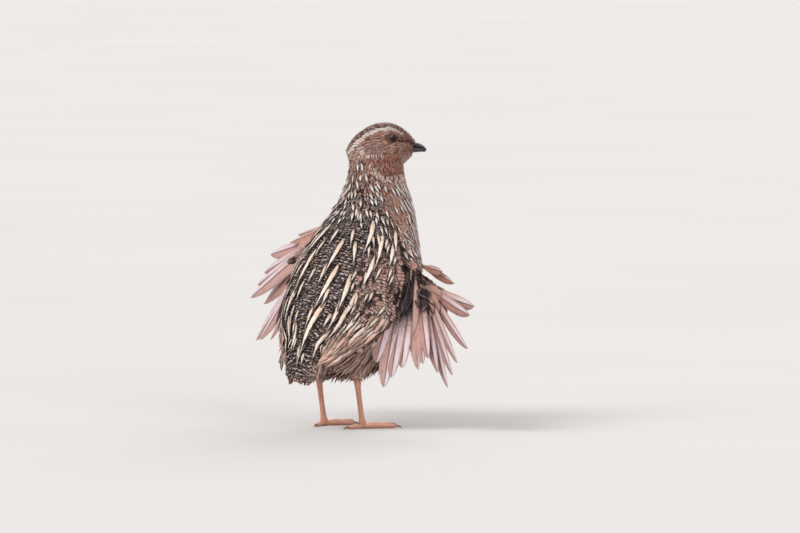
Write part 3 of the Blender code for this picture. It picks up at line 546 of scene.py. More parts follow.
def head_plumage(forward, side, height, luck):
    """Markings of the head by place along the line of sight, to its side, and up."""
    first, second = luck[..., 0], luck[..., 1]

    def on_line(line, far, near, width=1.0):
        return ramp(-line_distance(forward, height, line) / width, -far, -near)

    def on_spot(middle, radius, far, near):
        return ramp(-np.hypot(forward - middle[0], height - middle[1]) / radius, -far, -near)
    brow_height = height_on(BROW_LINE, forward)
    brow_width = np.interp(forward, [4.0, 10.0, 20.0, 27.0, 31.0], [0.9, 1.15, 1.0, 0.75, 0.5])
    brow = on_line(BROW_LINE, 1.1, 0.75, brow_width)
    crescent = on_line(CRESCENT_LINE, 1.9, 1.1)
    crown = ramp(height, brow_height - 0.2, brow_height + 0.9)
    behind = ramp(-forward, -12.5, -10.5) * (1 - crown)
    throat = ramp(-height, -131.5, -128.5) * ramp(forward, 19.0, 23.0)
    chin = ramp(forward, 29.5, 32.0) * ramp(-height, -138.5, -136.5)
    black_tips = crown * (second > 0.6) + behind * (second > 0.62)
    line_white = shade(255, 240, 230)
    ground = layered(
        CHEEK,
        (GREY_BROWN, 0.8 * on_spot((18.0, 140.6), 5.0, 1.2, 0.6)),
        (THROAT, throat),
        (NAPE, behind),
        (shade(240, 216, 200), 0.8 * behind * (first > 0.72)),
        (BUFF, 0.45 * chin),
        (shade(92, 54, 46), 0.85 * on_line(LORE_LINE, 1.0, 0.4)),
        (shade(222, 186, 168), 0.75 * on_line(UNDER_LORE, 0.8, 0.2)),
        (shade(84, 52, 42), 0.55 * on_line(GAPE_LINE, 0.7, 0.2) * (first > 0.35)),
        (line_white, 0.96 * crescent * (1 - 0.3 * first) * (second > 0.16)),
        (CROWN, crown),
        (shade(222, 188, 166), 0.75 * crown * ramp(-abs(side), -0.9, -0.4)),
        (shade(206, 172, 162), 0.8 * crown * (first > 0.62)),
        (BLACK, 0.8 * np.minimum(black_tips, 1)),
        (line_white, 0.97 * brow),
        (shade(196, 152, 130), 0.55 * on_spot(EYE, 1.0, 4.6, 3.0)),
        (shade(232, 206, 190), 0.6 * on_spot((EYE[0] + 0.4, EYE[1] - 3.2), 1.6, 1.1, 0.6)),
    )
    plain = np.maximum(brow, crescent)
    ground = ground * (0.8 + 0.2 * plain + 0.4 * first * (1 - plain))[..., None]
    streak = 0.36 * (1 - plain) * (first > 0.6) * (1 - 0.5 * throat)
    fringe = (0.35 + 0.45 * (first > 0.6)) * (1 - plain) * (second > 0.3)
    return worn(ground, shade(244, 210, 194), streak, 0.0, fringe, 0.2 * (1 - plain))


def body_place(points):
    """Slice, angle and share of the way out to the outline at which points lie on the body."""
    stations = np.linspace(0, len(BODY) - 1, 76)
    middle, side, rise, half, depth = body_slices(stations)
    forth = unit(np.cross(side, rise))
    found = []
    for part in np.array_split(points, max(1, len(points) // 8000)):
        away = part[:, None] - middle
        off = abs((away * forth).sum(-1))
        x = (away * side).sum(-1) / half
        y = (away * rise).sum(-1) / depth
        share = way_out(x, y, BODY_POWER)
        best = np.argmin(off + 4 * np.maximum(share - 1.1, 0), axis=1)
        pick = np.arange(len(part)), best
        found.append(np.stack([stations[best], np.arctan2(y[pick], x[pick]), share[pick], off[pick]], -1))
    return np.vstack(found).T


def head_place(points):
    """Distance forward, side and height of points, and the share of the way out to the outline."""
    away = points - HEAD_PIVOT
    forward = away @ AHEAD + PIVOT_FORWARD
    side, height = away @ RIGHT, points[:, 2]
    _, middle, half, wide = head_slices(HEAD, np.interp(forward, HEAD[:, 0], np.arange(len(HEAD))))
    share = way_out(side / wide, (height - middle) / half, HEAD_POWER)
    beyond = np.maximum(HEAD[0, 0] - forward, forward - HEAD[-1, 0])
    return forward, side, height, share + np.maximum(beyond, 0)


class Reading:
    """A number or vector inside a material. Python's signs on numbers add Math nodes."""

    def __init__(self, paint, socket):
        self.paint = paint
        self.socket = socket

    def math(self, operation, *others):
        return self.paint.node("Math", {"operation": operation}, dict(enumerate((self, *others))))

    def __add__(self, other):
        return self.math("ADD", other)

    def __sub__(self, other):
        return self.math("SUBTRACT", other)

    def __rsub__(self, other):
        return self.paint.node("Math", {"operation": "SUBTRACT"}, {0: other, 1: self})

    def __mul__(self, other):
        return self.math("MULTIPLY", other)

    def __abs__(self):
        return self.math("ABSOLUTE")

    __radd__ = __add__
    __rmul__ = __mul__

    def rise(self, low, high):
        """0 below low, 1 above high and a smooth rise between."""
        limits = {"Value": self, "From Min": low, "From Max": high}
        return self.paint.node("MapRange", {"interpolation_type": "SMOOTHSTEP"}, limits)

    def fall(self, low, high):
        """1 below low, 0 above high and a smooth fall between."""
        return 1 - self.rise(low, high)

    def wave(self):
        """A sine wave, of which this says how many turns it has gone."""
        return (self * math.tau).math("SINE")


class Paint:
    """A material's nodes. node() adds one: its type, its settings, and what its sockets take."""

    def __init__(self, name):
        self.material = bpy.data.materials.new(name)
        self.material.use_nodes = True
        self.tree = self.material.node_tree
        self.tree.nodes.clear()

    def node(self, kind, settings=None, sockets=None, out=0):
        node = self.tree.nodes.new("ShaderNode" + kind)
        for key, value in (settings or {}).items():
            setattr(node, key, value)
        for key, value in (sockets or {}).items():
            if isinstance(value, Reading):
                self.tree.links.new(value.socket, node.inputs[key])
            else:
                node.inputs[key].default_value = value
        return Reading(self, node.outputs[out]) if len(node.outputs) else None

    def attribute(self, name, out="Vector"):
        return self.node("Attribute", {"attribute_name": name}, out=out)

    def split(self, name):
        """The three numbers of a vector that a piece's points carry by name."""
        outs = self.node("SeparateXYZ", None, {0: self.attribute(name)}).socket.node.outputs
        return [Reading(self, outs[k]) for k in range(3)]

    def mix(self, colour, *layers):
        """A colour with others laid over it in turn, each given with its share. A plain colour is the
        three numbers of a paint chart."""
        for other, share in layers:
            sockets = {0: share}
            for key, value in ((6, colour), (7, other)):
                sockets[key] = value if isinstance(value, Reading) else (*shade(*value), 1.0)
            colour = self.node("Mix", {"data_type": "RGBA"}, sockets, out=2)
        return colour

    def noise(self, scale, detail=2.0):
        """Smooth noise in the piece's own space, about 0.5, with scale in spots per metre."""
        place = self.node("TexCoord", out="Object")
        return self.node("TexNoise", None, {"Vector": place, "Scale": scale, "Detail": detail})

    def finish(self, colour, roughness, specular=0.5, height=None, reach=0.0001):
        """Ends the material in one shader, with its bump height in shares of reach in metres."""
        sockets = {"Base Color": colour, "Roughness": roughness, "Specular IOR Level": specular}
        if height is not None:
            sockets["Normal"] = self.node("Bump", None, {"Height": height, "Distance": reach})
        shader = self.node("BsdfPrincipled", None, sockets)
        self.node("OutputMaterial", None, {"Surface": shader})
        return self.material


def skin_paint():
    """Thin matt skin in the colour of the feathers over it, darkened as it is in their shade."""
    paint = Paint("skin")
    pores = paint.noise(2600.0)
    colour = paint.mix(paint.attribute("ground", "Color"), ((40, 28, 26), 0.45 + 0.3 * pores))
    return paint.finish(colour, 0.85, specular=0.2, height=pores)


# How far the flesh lies inside the thigh's outline, its least radius there, the share of the arm that
# is flesh, radii along the wing's bones, and how far the flap's two sides lie inside its outline
THIGH_DEPTH = 1.5
THIGH_LEAST = 1.4
ARM_FLESH = 0.8
SHOULDER_RADIUS = 6.0
JOINT_RADIUS = {"elbow": 3.2, "wrist": 2.6}
FLAP_DEPTHS = (1.2, 2.6)


def skin_parts():
    """Closed tubes of the flesh under the coat, each drawn in from its outline by the coat's depth."""
    turns = once_round(48)

    def rings(surface, start, end, steps, depth):
        u, v = grid_of(np.linspace(start, end, steps), turns)
        return surface(u, v) - normals(surface, u, v) * depth
    parts = [
        rings(body_surface, 0.2, len(BODY) - 1.2, 70, TORSO_DEPTH),
        rings(head_surface, 0.5, len(HEAD) - 1.15, 50, HEAD_DEPTH),
    ]
    for wing in WINGS.values():
        sign = wing["sign"]
        flip = (sign, 1, 1)
        u, v = grid_of(np.linspace(-4.6, 0, 30), turns)
        row = along_rows(THIGH, -u)
        middle, radius = row[..., :3] * flip, row[..., 3:4]
        slim = np.clip(radius - THIGH_DEPTH, THIGH_LEAST, None) / radius
        parts.append(middle + (thigh_surface(sign)(u, v) - middle) * slim)
        number, out = grid_of(np.linspace(0, FLIGHT_FEATHERS - 1, 40), np.linspace(-3.4, 11.0, 12))
        upper, lower = (arm_surface(wing, face)(-out, number) for face in (1, -1))
        ring = np.concatenate([upper, lower[:, ::-1]], 1)
        core = ring.mean(1, keepdims=True)
        parts.append(core + (ring - core) * ARM_FLESH)
        for joint, radius in JOINT_RADIUS.items():
            t = np.linspace(0, 1, 12)[:, None, None]
            near, far = (np.array(wing[key]) * flip for key in ("shoulder", joint))
            reach = SHOULDER_RADIUS + (radius - SHOULDER_RADIUS) * t
            parts.append(near + (far - near) * t + spokes(unit(far - near), turns) * reach)
        u, v = grid_of(np.linspace(0, -7, 40), np.linspace(0, 0.97, 14))
        outer, inner = (flap_surface(sign, depth)(u, v) for depth in FLAP_DEPTHS)
        parts.append(np.concatenate([outer, inner[:, ::-1]], 1))
    return parts


def make_skin():
    """Fuses the tubes through a fine voxel grid, smooths the joints and marks the skin as the coat is."""
    points, faces = tubes(skin_parts())
    rough = bpy.data.meshes.new("rough_skin")
    rough.from_pydata(in_metres(points).tolist(), [], faces)
    holder = placed("rough_skin", rough)
    grid = holder.modifiers.new("grid", "REMESH")
    grid.mode = "VOXEL"
    grid.voxel_size = VOXEL
    soft = holder.modifiers.new("soft", "SMOOTH")
    soft.iterations = 6
    soft.factor = 0.5
    graph = bpy.context.evaluated_depsgraph_get()
    mesh = bpy.data.meshes.new_from_object(holder.evaluated_get(graph))
    bpy.data.objects.remove(holder)
    places = np.empty(len(mesh.vertices) * 3)
    mesh.vertices.foreach_get("co", places)
    places = places.reshape(-1, 3) * 1000 - SHIFT
    corners = [list(face.vertices) for face in mesh.polygons]
    replaced = "torso", "neck", "head", "thigh_left", "thigh_right"
    skin = piece_from("skin", places, corners, skin_paint(), replaced)
    at, angle, _, _ = body_place(places)
    forward, side, height, share = head_place(places)
    even = np.full((len(places), 2), 0.5)
    on_head = (share < HEAD_SHARE)[:, None]
    ground = np.where(on_head, head_plumage(forward, side, height, even), body_plumage(at, angle, even))
    spots_on(skin, ground=np.c_[ground[:, :3], np.ones(len(ground))])


make_skin()


# Coat feathers
# Small contour feathers of keratin, each a soft curved vane on a fine shaft, growing from the skin in
# staggered rows and lying backward over each other like roof tiles. Each is one closed vane of a few
# dozen faces, and its pattern is painted across and along the vane itself.

STATIONS = np.array([0.0, 0.2, 0.42, 0.64, 0.84, 0.95, 1.0])
BROAD = np.array([0.5, 0.82, 1.0, 1.0, 0.78, 0.45, 0.12])      # width at each station, of a round vane
LANCE = np.array([0.45, 0.85, 1.0, 0.86, 0.5, 0.22, 0.05])     # of a pointed one
WEDGE = np.array([0.7, 1.0, 0.96, 0.78, 0.5, 0.26, 0.05])      # and of a long one, broad at its root
VANE_THICK = 0.16
ROUND = (0, math.tau)

chance = np.random.default_rng(11)


def lay_on(surface, u, v, length, sway, sunk, proud, droop):
    """Centre lines of feathers on a surface: each runs from its root down u by its length, drifts
    sideways by sway times that, rises from sunk under the outline to proud over it, and sinks by droop
    at its tip under its own weight."""
    u, v, length, sway, sunk, proud, droop = (
        np.asarray(a, float)[:, None] for a in np.broadcast_arrays(u, v, length, sway, sunk, proud, droop)
    )
    step = 0.02
    rate_u = lengths(surface(u + step, v) - surface(u - step, v)) / (2 * step)
    rate_v = lengths(surface(u, v + step) - surface(u, v - step)) / (2 * step)
    along_u = u - length * STATIONS / rate_u
    along_v = v + sway * length * STATIONS / rate_v
    out = normals(surface, along_u, along_v)
    lift = -sunk + (sunk + proud) * STATIONS ** 0.8
    centre = surface(along_u, along_v) + out * lift[..., None]
    return centre - UP * (droop * STATIONS ** 2)[..., None], out


def vane_points(centre, out, width, profile, hollow, roll):
    """Four points round each station: the two edges, dropped by hollow, and the shaft's top and back."""
    run = unit(np.gradient(centre, axis=1))
    side = unit(np.cross(run, out))
    out = np.cross(side, run)
    roll = roll[:, None, None]
    side, out = side * np.cos(roll) + out * np.sin(roll), out * np.cos(roll) - side * np.sin(roll)
    half = (0.5 * width[:, None] * profile)[..., None]
    left = centre + side * half - out * half * hollow
    right = centre - side * half - out * half * hollow
    thin = out * VANE_THICK / 2
    return np.stack([left, centre + thin, right, centre - thin], 2)


def vane_faces(count, stations):
    """Quads of closed vanes: four sides between rings, and one face at each end."""
    last = (stations - 1) * 4
    quads = np.vstack([
        ring_quads(stations, 4)[:, [0, 3, 2, 1]], [[0, 1, 2, 3], [last + 3, last + 2, last + 1, last]],
    ])
    return (np.arange(count)[:, None, None] * (stations * 4) + quads).reshape(-1, 4)


def group_from(line, unwrap, patch, plumage, luck, width, profile, hollow, roll):
    """A group of feathers along ready centre lines, which come with their outward directions. patch is
    the size of each feather's place on the unwrap."""
    points = vane_points(*line, np.broadcast_to(width, len(roll)), profile, hollow, roll)
    return {"points": points, "plumage": plumage, "luck": luck, "unwrap": unwrap, "patch": patch}


def kept(group, keep):
    """The feathers of a group that keep says."""
    return {key: value[keep] if isinstance(value, np.ndarray) else value for key, value in group.items()}


class Roots:
    """Staggered roots of feathers on a surface: rows gap apart down it, spacing apart across it, each a
    little off its place. luck, two numbers from 0 to 1 for each, tells them apart, and unwrap is the
    share of the whole range at which each lies."""

    def __init__(self, surface, u_range, v_range, spacing, gap):
        u = np.linspace(*u_range, 240)
        grid = surface(*grid_of(u, np.linspace(*v_range, 60)))
        length = lengths(np.diff(grid, axis=0)).mean(1).cumsum()
        girth = lengths(np.diff(grid, axis=1)).sum(1)
        rows = np.arange(gap / 2, length[-1], gap)
        found = []
        for k, distance in enumerate(rows):
            at = np.interp(distance, length, u[1:])
            count = max(3, round(np.interp(distance, length, girth[1:]) / spacing))
            share = (np.arange(count) + (0.25 if k % 2 else 0.75)) / count
            found.append(np.stack([np.full(count, at), share, np.full(count, (k + 0.5) / len(rows))], -1))
        at, share, down = np.vstack(found).T
        drift = chance.normal(0, 0.13, (2, len(at)))
        reach = v_range[1] - v_range[0]
        self.surface = surface
        self.u = at + drift[0] * gap * (u_range[1] - u_range[0]) / length[-1]
        self.v = v_range[0] + reach * share + drift[1] * spacing * reach / girth.max()
        self.unwrap = np.stack([share, down], -1)
        self.luck = chance.random((len(at), 2))

    def vary(self, amount):
        """A number about 0 for each feather, mostly within the amount."""
        return chance.normal(0, amount, len(self.u))

    def grow(self, plumage, length, width, sway=0.0, sunk=TORSO_DEPTH, proud=0.3, profile=BROAD,
             hollow=0.35, droop=0.0, patch=0.009, cell=(0, 0, 1, 1)):
        """The group of feathers on these roots. cell is the part of the unwrap that they fill: its left
        side, its lower side, its width and its height."""
        line = lay_on(self.surface, self.u, self.v, length, sway, sunk, proud, droop)
        plumage = np.broadcast_to(plumage, (len(self.u), plumage.shape[-1]))
        unwrap = self.unwrap * cell[2:] + cell[:2]
        return group_from(line, unwrap, patch, plumage, self.luck, width, profile, hollow, self.vary(0.12))


def feather_paint():
    """A soft vane: fine slanting barbs, a pale shaft streak edged with black, cross bars of black and
    pale lines, a pale fringe and fine mottling, each as strong as the feather's own plumage says, over
    painted shade that darkens the vane towards its root, where the feathers lying over it shade it."""
    paint = Paint("coat_feather")
    across, along, luck = paint.split("vane")
    streak, bars, fringe = paint.split("pattern")
    blotch = paint.attribute("ground", "Alpha")
    mark = paint.attribute("mark", "Color")
    fine = paint.noise(1300.0)
    coarse = paint.noise(420.0)
    half = abs(across) + (fine - 0.5) * 0.16
    mottle = paint.noise(2300.0, 1.0).rise(0.5, 0.62) * blotch
    finer, bars = bars.math("FLOOR"), bars.math("FRACT")
    phase = along * (3.3 + finer) + half * half * 0.5 + (fine - 0.5) * 0.7 + luck * (0.5 + 0.5 * finer)
    wave = phase.wave()
    taper = streak * along.rise(-0.2, 0.12) * (1 - 0.9 * along.rise(0.3, 1.04))
    worn_streak = streak.rise(0.02, 0.1)
    ragged = half + (fine - 0.5) * 0.24
    warm = paint.mix(mark, ((222, 176, 138), 0.55 * (along + (coarse - 0.5)).fall(0.1, 0.6)))
    barb = (along * 30.0 + half * 9.0).wave()
    colour = paint.mix(
        paint.attribute("ground", "Color"),
        # painted shade: the vane darker towards its root, where the feathers lying over it shade it
        ((58, 38, 34), 0.42 * along.fall(0.05, 0.5)),
        ((246, 218, 202), (luck - 0.5) * 0.2 + (coarse - 0.5) * 0.35),
        ((84, 60, 56), mottle * 0.7),
        ((36, 26, 28), wave.fall(-0.35, 0.25) * bars * 0.9),
        ((232, 214, 202), wave.rise(0.62, 0.9) * bars * 0.85),
        (mark, (along + half * half * 0.22).rise(0.88, 0.95) * fringe),
        ((40, 28, 28), (taper + 0.26 - ragged).rise(-0.02, 0.08) * worn_streak * 0.8),
        (warm, (taper - ragged).rise(-0.04, 0.05) * worn_streak),
        ((36, 26, 25), 0.04 + 0.04 * barb),
    )
    return paint.finish(colour, 0.68, specular=0.3, height=barb * 0.35 + half.fall(0.0, 0.12), reach=0.00012)


coat = feather_paint()


def coat_piece(name, slot, *groups):
    """Joins groups of feathers into one piece, with their plumage and their places on the unwrap."""
    points, vanes, plumage, places = [], [], [], []
    for group in groups:
        ring = group["points"]
        shape = ring.shape[:3]
        across = np.broadcast_to([-1.0, 0.0, 1.0, 0.0], shape)
        along = np.broadcast_to(STATIONS[None, :, None], shape)
        luck = np.broadcast_to(group["luck"][:, 0, None, None], shape)
        points.append(ring.reshape(-1, 3))
        vanes.append(np.stack([across, along, luck], -1).reshape(-1, 3))
        plumage.append(np.repeat(group["plumage"], len(STATIONS) * 4, axis=0))
        patch = np.stack([across * 0.42, along - 0.5], -1) * group["patch"]
        places.append((patch + group["unwrap"][:, None, None]).reshape(-1, 2))
    points, vanes, plumage, places = (np.vstack(x) for x in (points, vanes, plumage, places))
    faces = vane_faces(len(points) // (len(STATIONS) * 4), len(STATIONS))
    piece = piece_from(name, points, faces.tolist(), coat)
    spots_on(
        piece, vane=vanes, pattern=plumage[:, STREAK:BLOTCH],
        ground=np.c_[plumage[:, :3], plumage[:, BLOTCH]], mark=np.c_[plumage[:, 3:6], np.ones(len(plumage))],
    )
    unwrap_on(piece, places)


# Body coat
# The broad mantle, rump, breast, flank and belly feathers. The back's are black-brown with wavy pale
# bars, the flanks' and breast's rufous with cream shaft streaks, and the belly's long, loose and pale.

def make_body_coat():
    """Feathers over the torso by slice and angle, longest and loosest low on the flanks and belly."""
    roots = Roots(body_surface, (10.9, 0.15), ROUND, spacing=2.9, gap=2.3)
    row, up = roots.u - TAIL_SLICES, np.sin(roots.v)
    first, second = roots.luck.T
    low = ramp(-up, 0.0, 0.7) * (1 - ramp(row, 5.0, 7.5))
    rump = 1 - ramp(row, -2.0, 1.0)
    last = 1 - ramp(row, -2.8, -1.2)
    length = 8.0 + 3.6 * low + 0.6 * rump - 3.4 * last + roots.vary(0.6)
    width = (4.9 - 1.2 * low) * (0.85 + 0.3 * second)
    sway = roots.vary(0.05) + 0.12 * low * roots.vary(1.0)
    proud = 0.3 + 0.8 * low * second + 0.35 * first + 0.5 * rump
    group = roots.grow(body_plumage(roots.u, roots.v, roots.luck), length, width, sway, proud=proud)
    bare_under_tail = (row < -1.2) & (up < -0.2)
    coat_piece("body_coat", "plumage_back", kept(group, ~bare_under_tail))


make_body_coat()


# Back streaks
# Long lance-shaped mantle and scapular feathers with a broad cream shaft streak between black webs.
# They grow in lines down the back, each over the root of the next, and are set above the coat.

# Row and angle in degrees of each feather's root, then of its tip. The third group has a mirror image
LEFT_STREAKS = [
    (6.7, 102, 4.6, 115), (5.0, 103, 2.6, 108), (2.9, 111, 0.8, 123), (1.1, 117, -0.5, 122),
    (0.6, 100, -1.4, 108), (5.7, 96, 4.8, 97),
]
RIGHT_STREAKS = [
    (5.8, 72, 3.7, 76), (4.2, 67, 1.6, 71), (2.1, 64, -1.5, 74), (-0.9, 78, -2.4, 84), (6.5, 84, 5.4, 85),
]
PAIRED_STREAKS = [
    (4.4, 48, 3.8, 49), (4.0, 51, 2.1, 45), (2.8, 49, 0.7, 38), (2.4, 38, 0.3, 27), (0.8, 35, -1.6, 38),
    (0.9, 15, -0.9, 18), (6.6, 64, 5.6, 61), (5.9, 58, 4.6, 52), (7.4, 42, 5.3, 48),
]
# The same on the scapular flap: row down it, and share of the way from the back to its edge
FLAP_STREAKS = [
    (-0.45, 0.7, 2.05, 0.44), (1.2, 0.46, 3.1, 0.27), (0.4, 0.88, 1.85, 0.7), (1.9, 0.56, 2.6, 0.47),
    (-0.2, 0.97, 0.9, 0.89), (3.4, 0.2, 5.2, 0.1), (4.6, 0.34, 6.1, 0.26), (5.4, 0.62, 6.6, 0.52),
]
SMALL_STREAKS = 30     # strewn between them on the back
FLAP_SMALL = 18        # and on each flap


def lay_between(surface, ends, sunk, proud):
    """Centre lines of feathers that run straight, in a surface's u and v, between the given ends."""
    root, tip = ends[:, None, :2], ends[:, None, 2:]
    place = root + (tip - root) * (STATIONS[:, None] * 1.1 - 0.1)
    out = normals(surface, place[..., 0], place[..., 1])
    lift = -sunk + (sunk + proud) * STATIONS ** 0.5
    return surface(place[..., 0], place[..., 1]) + out * lift[..., None], out


def make_back_streaks():
    """Feathers between the tabled ends on the back and on both flaps, wider where they are longer."""
    paired = np.array(PAIRED_STREAKS, float)
    mirrored = paired * (1, -1, 1, -1) + (0, 180, 0, 180) + chance.normal(0, 0.6, paired.shape)
    row = chance.uniform(-1.5, 6.8, SMALL_STREAKS)
    turn = chance.uniform(18, 162, SMALL_STREAKS)
    small = np.stack([row, turn, row - chance.uniform(0.6, 1.2, SMALL_STREAKS), 90 + (turn - 90) * 1.08], -1)
    body = np.vstack([LEFT_STREAKS, RIGHT_STREAKS, paired, mirrored, small])
    body = (body + (TAIL_SLICES, 0, TAIL_SLICES, 0)) * (1, math.pi / 180, 1, math.pi / 180)
    row, share = chance.uniform(0.0, 5.4, FLAP_SMALL), chance.uniform(0.12, 0.92, FLAP_SMALL)
    small = np.stack([row, share, row + chance.uniform(0.45, 0.8, FLAP_SMALL), share * 0.9], -1)
    flap = np.vstack([FLAP_STREAKS, small]) * (-1, 1, -1, 1)
    sets = [(body_surface, body, 1.5), (flap_surface(1), flap, 1.3), (flap_surface(-1), flap, 1.3)]
    cells = math.ceil(math.sqrt(sum(len(ends) for _, ends, _ in sets)))
    groups = []
    done = 0
    for surface, ends, proud in sets:
        count = len(ends)
        line = lay_between(surface, ends, -0.35, proud)
        width = 1.5 + 0.115 * lengths(line[0][:, -1] - line[0][:, 0])
        luck = chance.random((count, 2))
        plumage = worn(MANTLE * 0.8, CREAM, 0.56 + chance.normal(0, 0.04, count), 0.8, 0.0, 0.1)
        number = done + np.arange(count)
        unwrap = (np.stack([number % cells, number // cells], -1) + 0.5) / cells
        roll = chance.normal(0, 0.05, count)
        groups.append(group_from(line, unwrap, 0.9 / cells, plumage, luck, width, WEDGE, 0.2, roll))
        done += count
    coat_piece("back_streaks", "plumage_back", *groups)


make_back_streaks()


# Neck coat
# Narrower, shorter feathers from the shoulders to the throat, rufous with a white shaft streak
# edged with black, denser towards the head and hanging long and thin down the fore-neck.

# Rows from the first to the last, spacing, gap, length and width of the two bands of plain feathers
NECK_BANDS = [
    ((15.4, 13.3), 1.15, 1.0, 3.2, 1.8),
    ((13.4, 9.9), 1.8, 1.45, 5.0, 3.0),
]


def out_of_head(group):
    """The feathers that come out of the head's own coat by the middle of their length."""
    return kept(group, head_place(group["points"][:, 3, 1])[3] > 1.0)


def neck_plumage(roots):
    """The neck's own markings, and the cheek's and crescent's where the head's markings run down on it."""
    forward, side, height, _ = head_place(body_surface(roots.u, roots.v))
    under_head = (forward > CRESCENT_LINE[0, 0]) & (height > height_on(CRESCENT_LINE, forward) - 1.5)
    plumage = body_plumage(roots.u, roots.v, roots.luck)
    return np.where(under_head[:, None], head_plumage(forward, side, height, roots.luck), plumage)


def make_neck_coat():
    """Fine feathers under the cheeks, soft short ones down the neck, and over them sparser narrow ones
    with a white streak, longest on the fore-neck, which run on down the sides of the breast."""
    groups = []
    for k, (rows, spacing, gap, length, width) in enumerate(NECK_BANDS):
        roots = Roots(body_surface, rows, ROUND, spacing, gap)
        second = roots.luck[:, 1]
        groups.append(roots.grow(
            neck_plumage(roots), length * (0.85 + 0.3 * second), width, roots.vary(0.08), sunk=1.4,
            proud=0.25 + 0.35 * second, profile=LANCE, hollow=0.3, patch=0.008, cell=(0, 0.33 * k, 1, 0.33),
        ))
    roots = Roots(body_surface, (14.9, 7.4), ROUND, spacing=2.5, gap=3.0)
    row, up, second = roots.u - TAIL_SLICES, np.sin(roots.v), roots.luck[:, 1]
    forward, _, height, _ = head_place(body_surface(roots.u, roots.v))
    collar = np.minimum(height_on(CRESCENT_LINE, forward), 133.0) - 3.2
    on_collar = (forward > CRESCENT_LINE[0, 0] - 1.5) & (height > collar)
    front = ramp(-up, 0.0, 0.6)
    length = 5.2 + 3.6 * front + roots.vary(0.6)
    ground = layered(neck_plumage(roots)[:, :3], (BLACK, 0.8 * (1 - 0.9 * front) * (second > 0.3)))
    lined = roots.grow(
        worn(ground, WHITE, 0.62 + 0.14 * front), length, 2.2 - 0.7 * front, roots.vary(0.1), sunk=-0.1,
        proud=0.8 + 0.4 * second, profile=LANCE, hollow=0.25, patch=0.008, cell=(0, 0.66, 1, 0.33),
    )
    bare = ramp(up, -0.42, -0.28) * (1 - ramp(up, 0.0, 0.25))
    share = (0.34 + 0.46 * front) * (1 - 0.75 * bare) * ramp(row, 4.2, 6.6)
    above_back = row > 6.2 + 1.2 * ramp(up, 0.2, 0.6)
    shown = (above_back | (up < 0.15)) & ~on_collar & (chance.random(len(row)) < share)
    groups.append(kept(lined, shown))
    coat_piece("neck_coat", "plumage_neck", *(out_of_head(group) for group in groups))


make_neck_coat()


# Head coat
# The smallest feathers of the bird, from the bill's base back over crown, cheeks and throat. They
# lie flat and close, and show the crown's pale middle line, the brow, the cheek and the crescent.

ROOT_OFF_EYE = 2.7     # how far a feather's root stays from the eye's middle
TIP_OFF_EYE = 2.35     # and its tip


def make_head_coat():
    """Feathers by slice and angle of the head, smallest at the bill, none over eye or neck."""
    roots = Roots(head_surface, (10.5, 0.7), ROUND, spacing=0.98, gap=0.85)
    first, second = roots.luck.T
    forward, side, height, _ = head_place(head_surface(roots.u, roots.v))
    size = np.interp(forward, [4.0, 20.0, 30.0, 36.0], [1.35, 1.05, 0.8, 0.6])
    sway = -0.4 * np.sign(np.cos(roots.v)) * ramp(-height, -145.0, -137.0) + roots.vary(0.12)
    group = roots.grow(
        head_plumage(forward, side, height, roots.luck), 2.8 * size * (0.85 + 0.3 * second), 1.6 * size,
        sway, sunk=0.75, proud=0.22 + 0.3 * first * size, profile=LANCE, hollow=0.3, patch=0.0075,
    )
    tip_forward, _, tip_height, _ = head_place(group["points"][:, -1, 0])
    root_clear = np.hypot(forward - EYE[0], height - EYE[1]) > ROOT_OFF_EYE
    tip_clear = np.hypot(tip_forward - EYE[0], tip_height - EYE[1]) > TIP_OFF_EYE
    _, _, share, off = body_place(group["points"][:, 3, 1])
    buried = (share < 0.93) & (off < 1.0)
    on_gape = (forward > 36.0) & (height < 141.0)
    coat_piece("head_coat", "plumage_head", kept(group, root_clear & tip_clear & ~buried & ~on_gape))


make_head_coat()


# Thigh and vent tufts
# Loose downy feathers that hide the thighs down to the hock and fill the space under the tail.

def make_thigh_coat():
    """Hanging feathers round each thigh, pale buff."""
    groups = []
    for k, sign in enumerate((1, -1)):
        roots = Roots(thigh_surface(sign), (-0.6, -4.3), ROUND, spacing=1.9, gap=1.6)
        length = 5.4 + 0.6 * roots.u + roots.vary(0.5)
        plain = layered(BUFF, (FLANK, 0.7))
        groups.append(roots.grow(
            worn(plain, CREAM, 0.24 * (roots.luck[:, 0] > 0.5), 0.0, 0.3, 0.1), length, 2.4,
            roots.vary(0.12), sunk=1.2, proud=0.5, profile=LANCE, hollow=0.3, patch=0.01,
            cell=(0.5 * k, 0, 0.5, 1),
        ))
    coat_piece("thigh_coat", "plumage_belly", *groups)


def make_flank_coat():
    """Long loose feathers that hang from the lower body over the thighs and under the tail, in ragged
    rows: rufous with cream streaks on the flanks, buff and white between the legs and at the vent."""
    roots = Roots(body_surface, (8.0, 2.6), (math.radians(-192), math.radians(12)), spacing=2.7, gap=2.6)
    row, up = roots.u - TAIL_SLICES, np.sin(roots.v)
    first, second = roots.luck.T
    low = ramp(-up, 0.35, 0.85)
    rear = 0.55 + 0.45 * ramp(row, 0.2, 2.4)
    ground = layered(
        FLANK, (BUFF, 0.3 + 0.5 * low + 0.2 * second), (MANTLE, 0.6 * (second > 0.85) * (1 - low)),
    )
    group = roots.grow(
        worn(ground, CREAM, (0.34 - 0.14 * low) * (first > 0.3), blotch=0.12),
        (12.0 + 6.0 * second - 2.0 * low) * rear, 3.6, roots.vary(0.14), sunk=1.4,
        proud=1.0 + 1.8 * first + 0.8 * low, profile=LANCE, hollow=0.3,
        droop=(3.0 + 2.5 * second) * rear ** 2, patch=0.012,
    )
    side = (row > 3.6) & (up > -0.4)
    coat_piece("flank_coat", "plumage_belly", kept(group, ~side))


make_thigh_coat()
make_flank_coat()


# Wing coverts
# Small feathers over the arm and hand on both sides, and the broad scapular flap that hangs over the
# folded arm: grey-brown, finely mottled, with thin pale crescents and odd black patches.

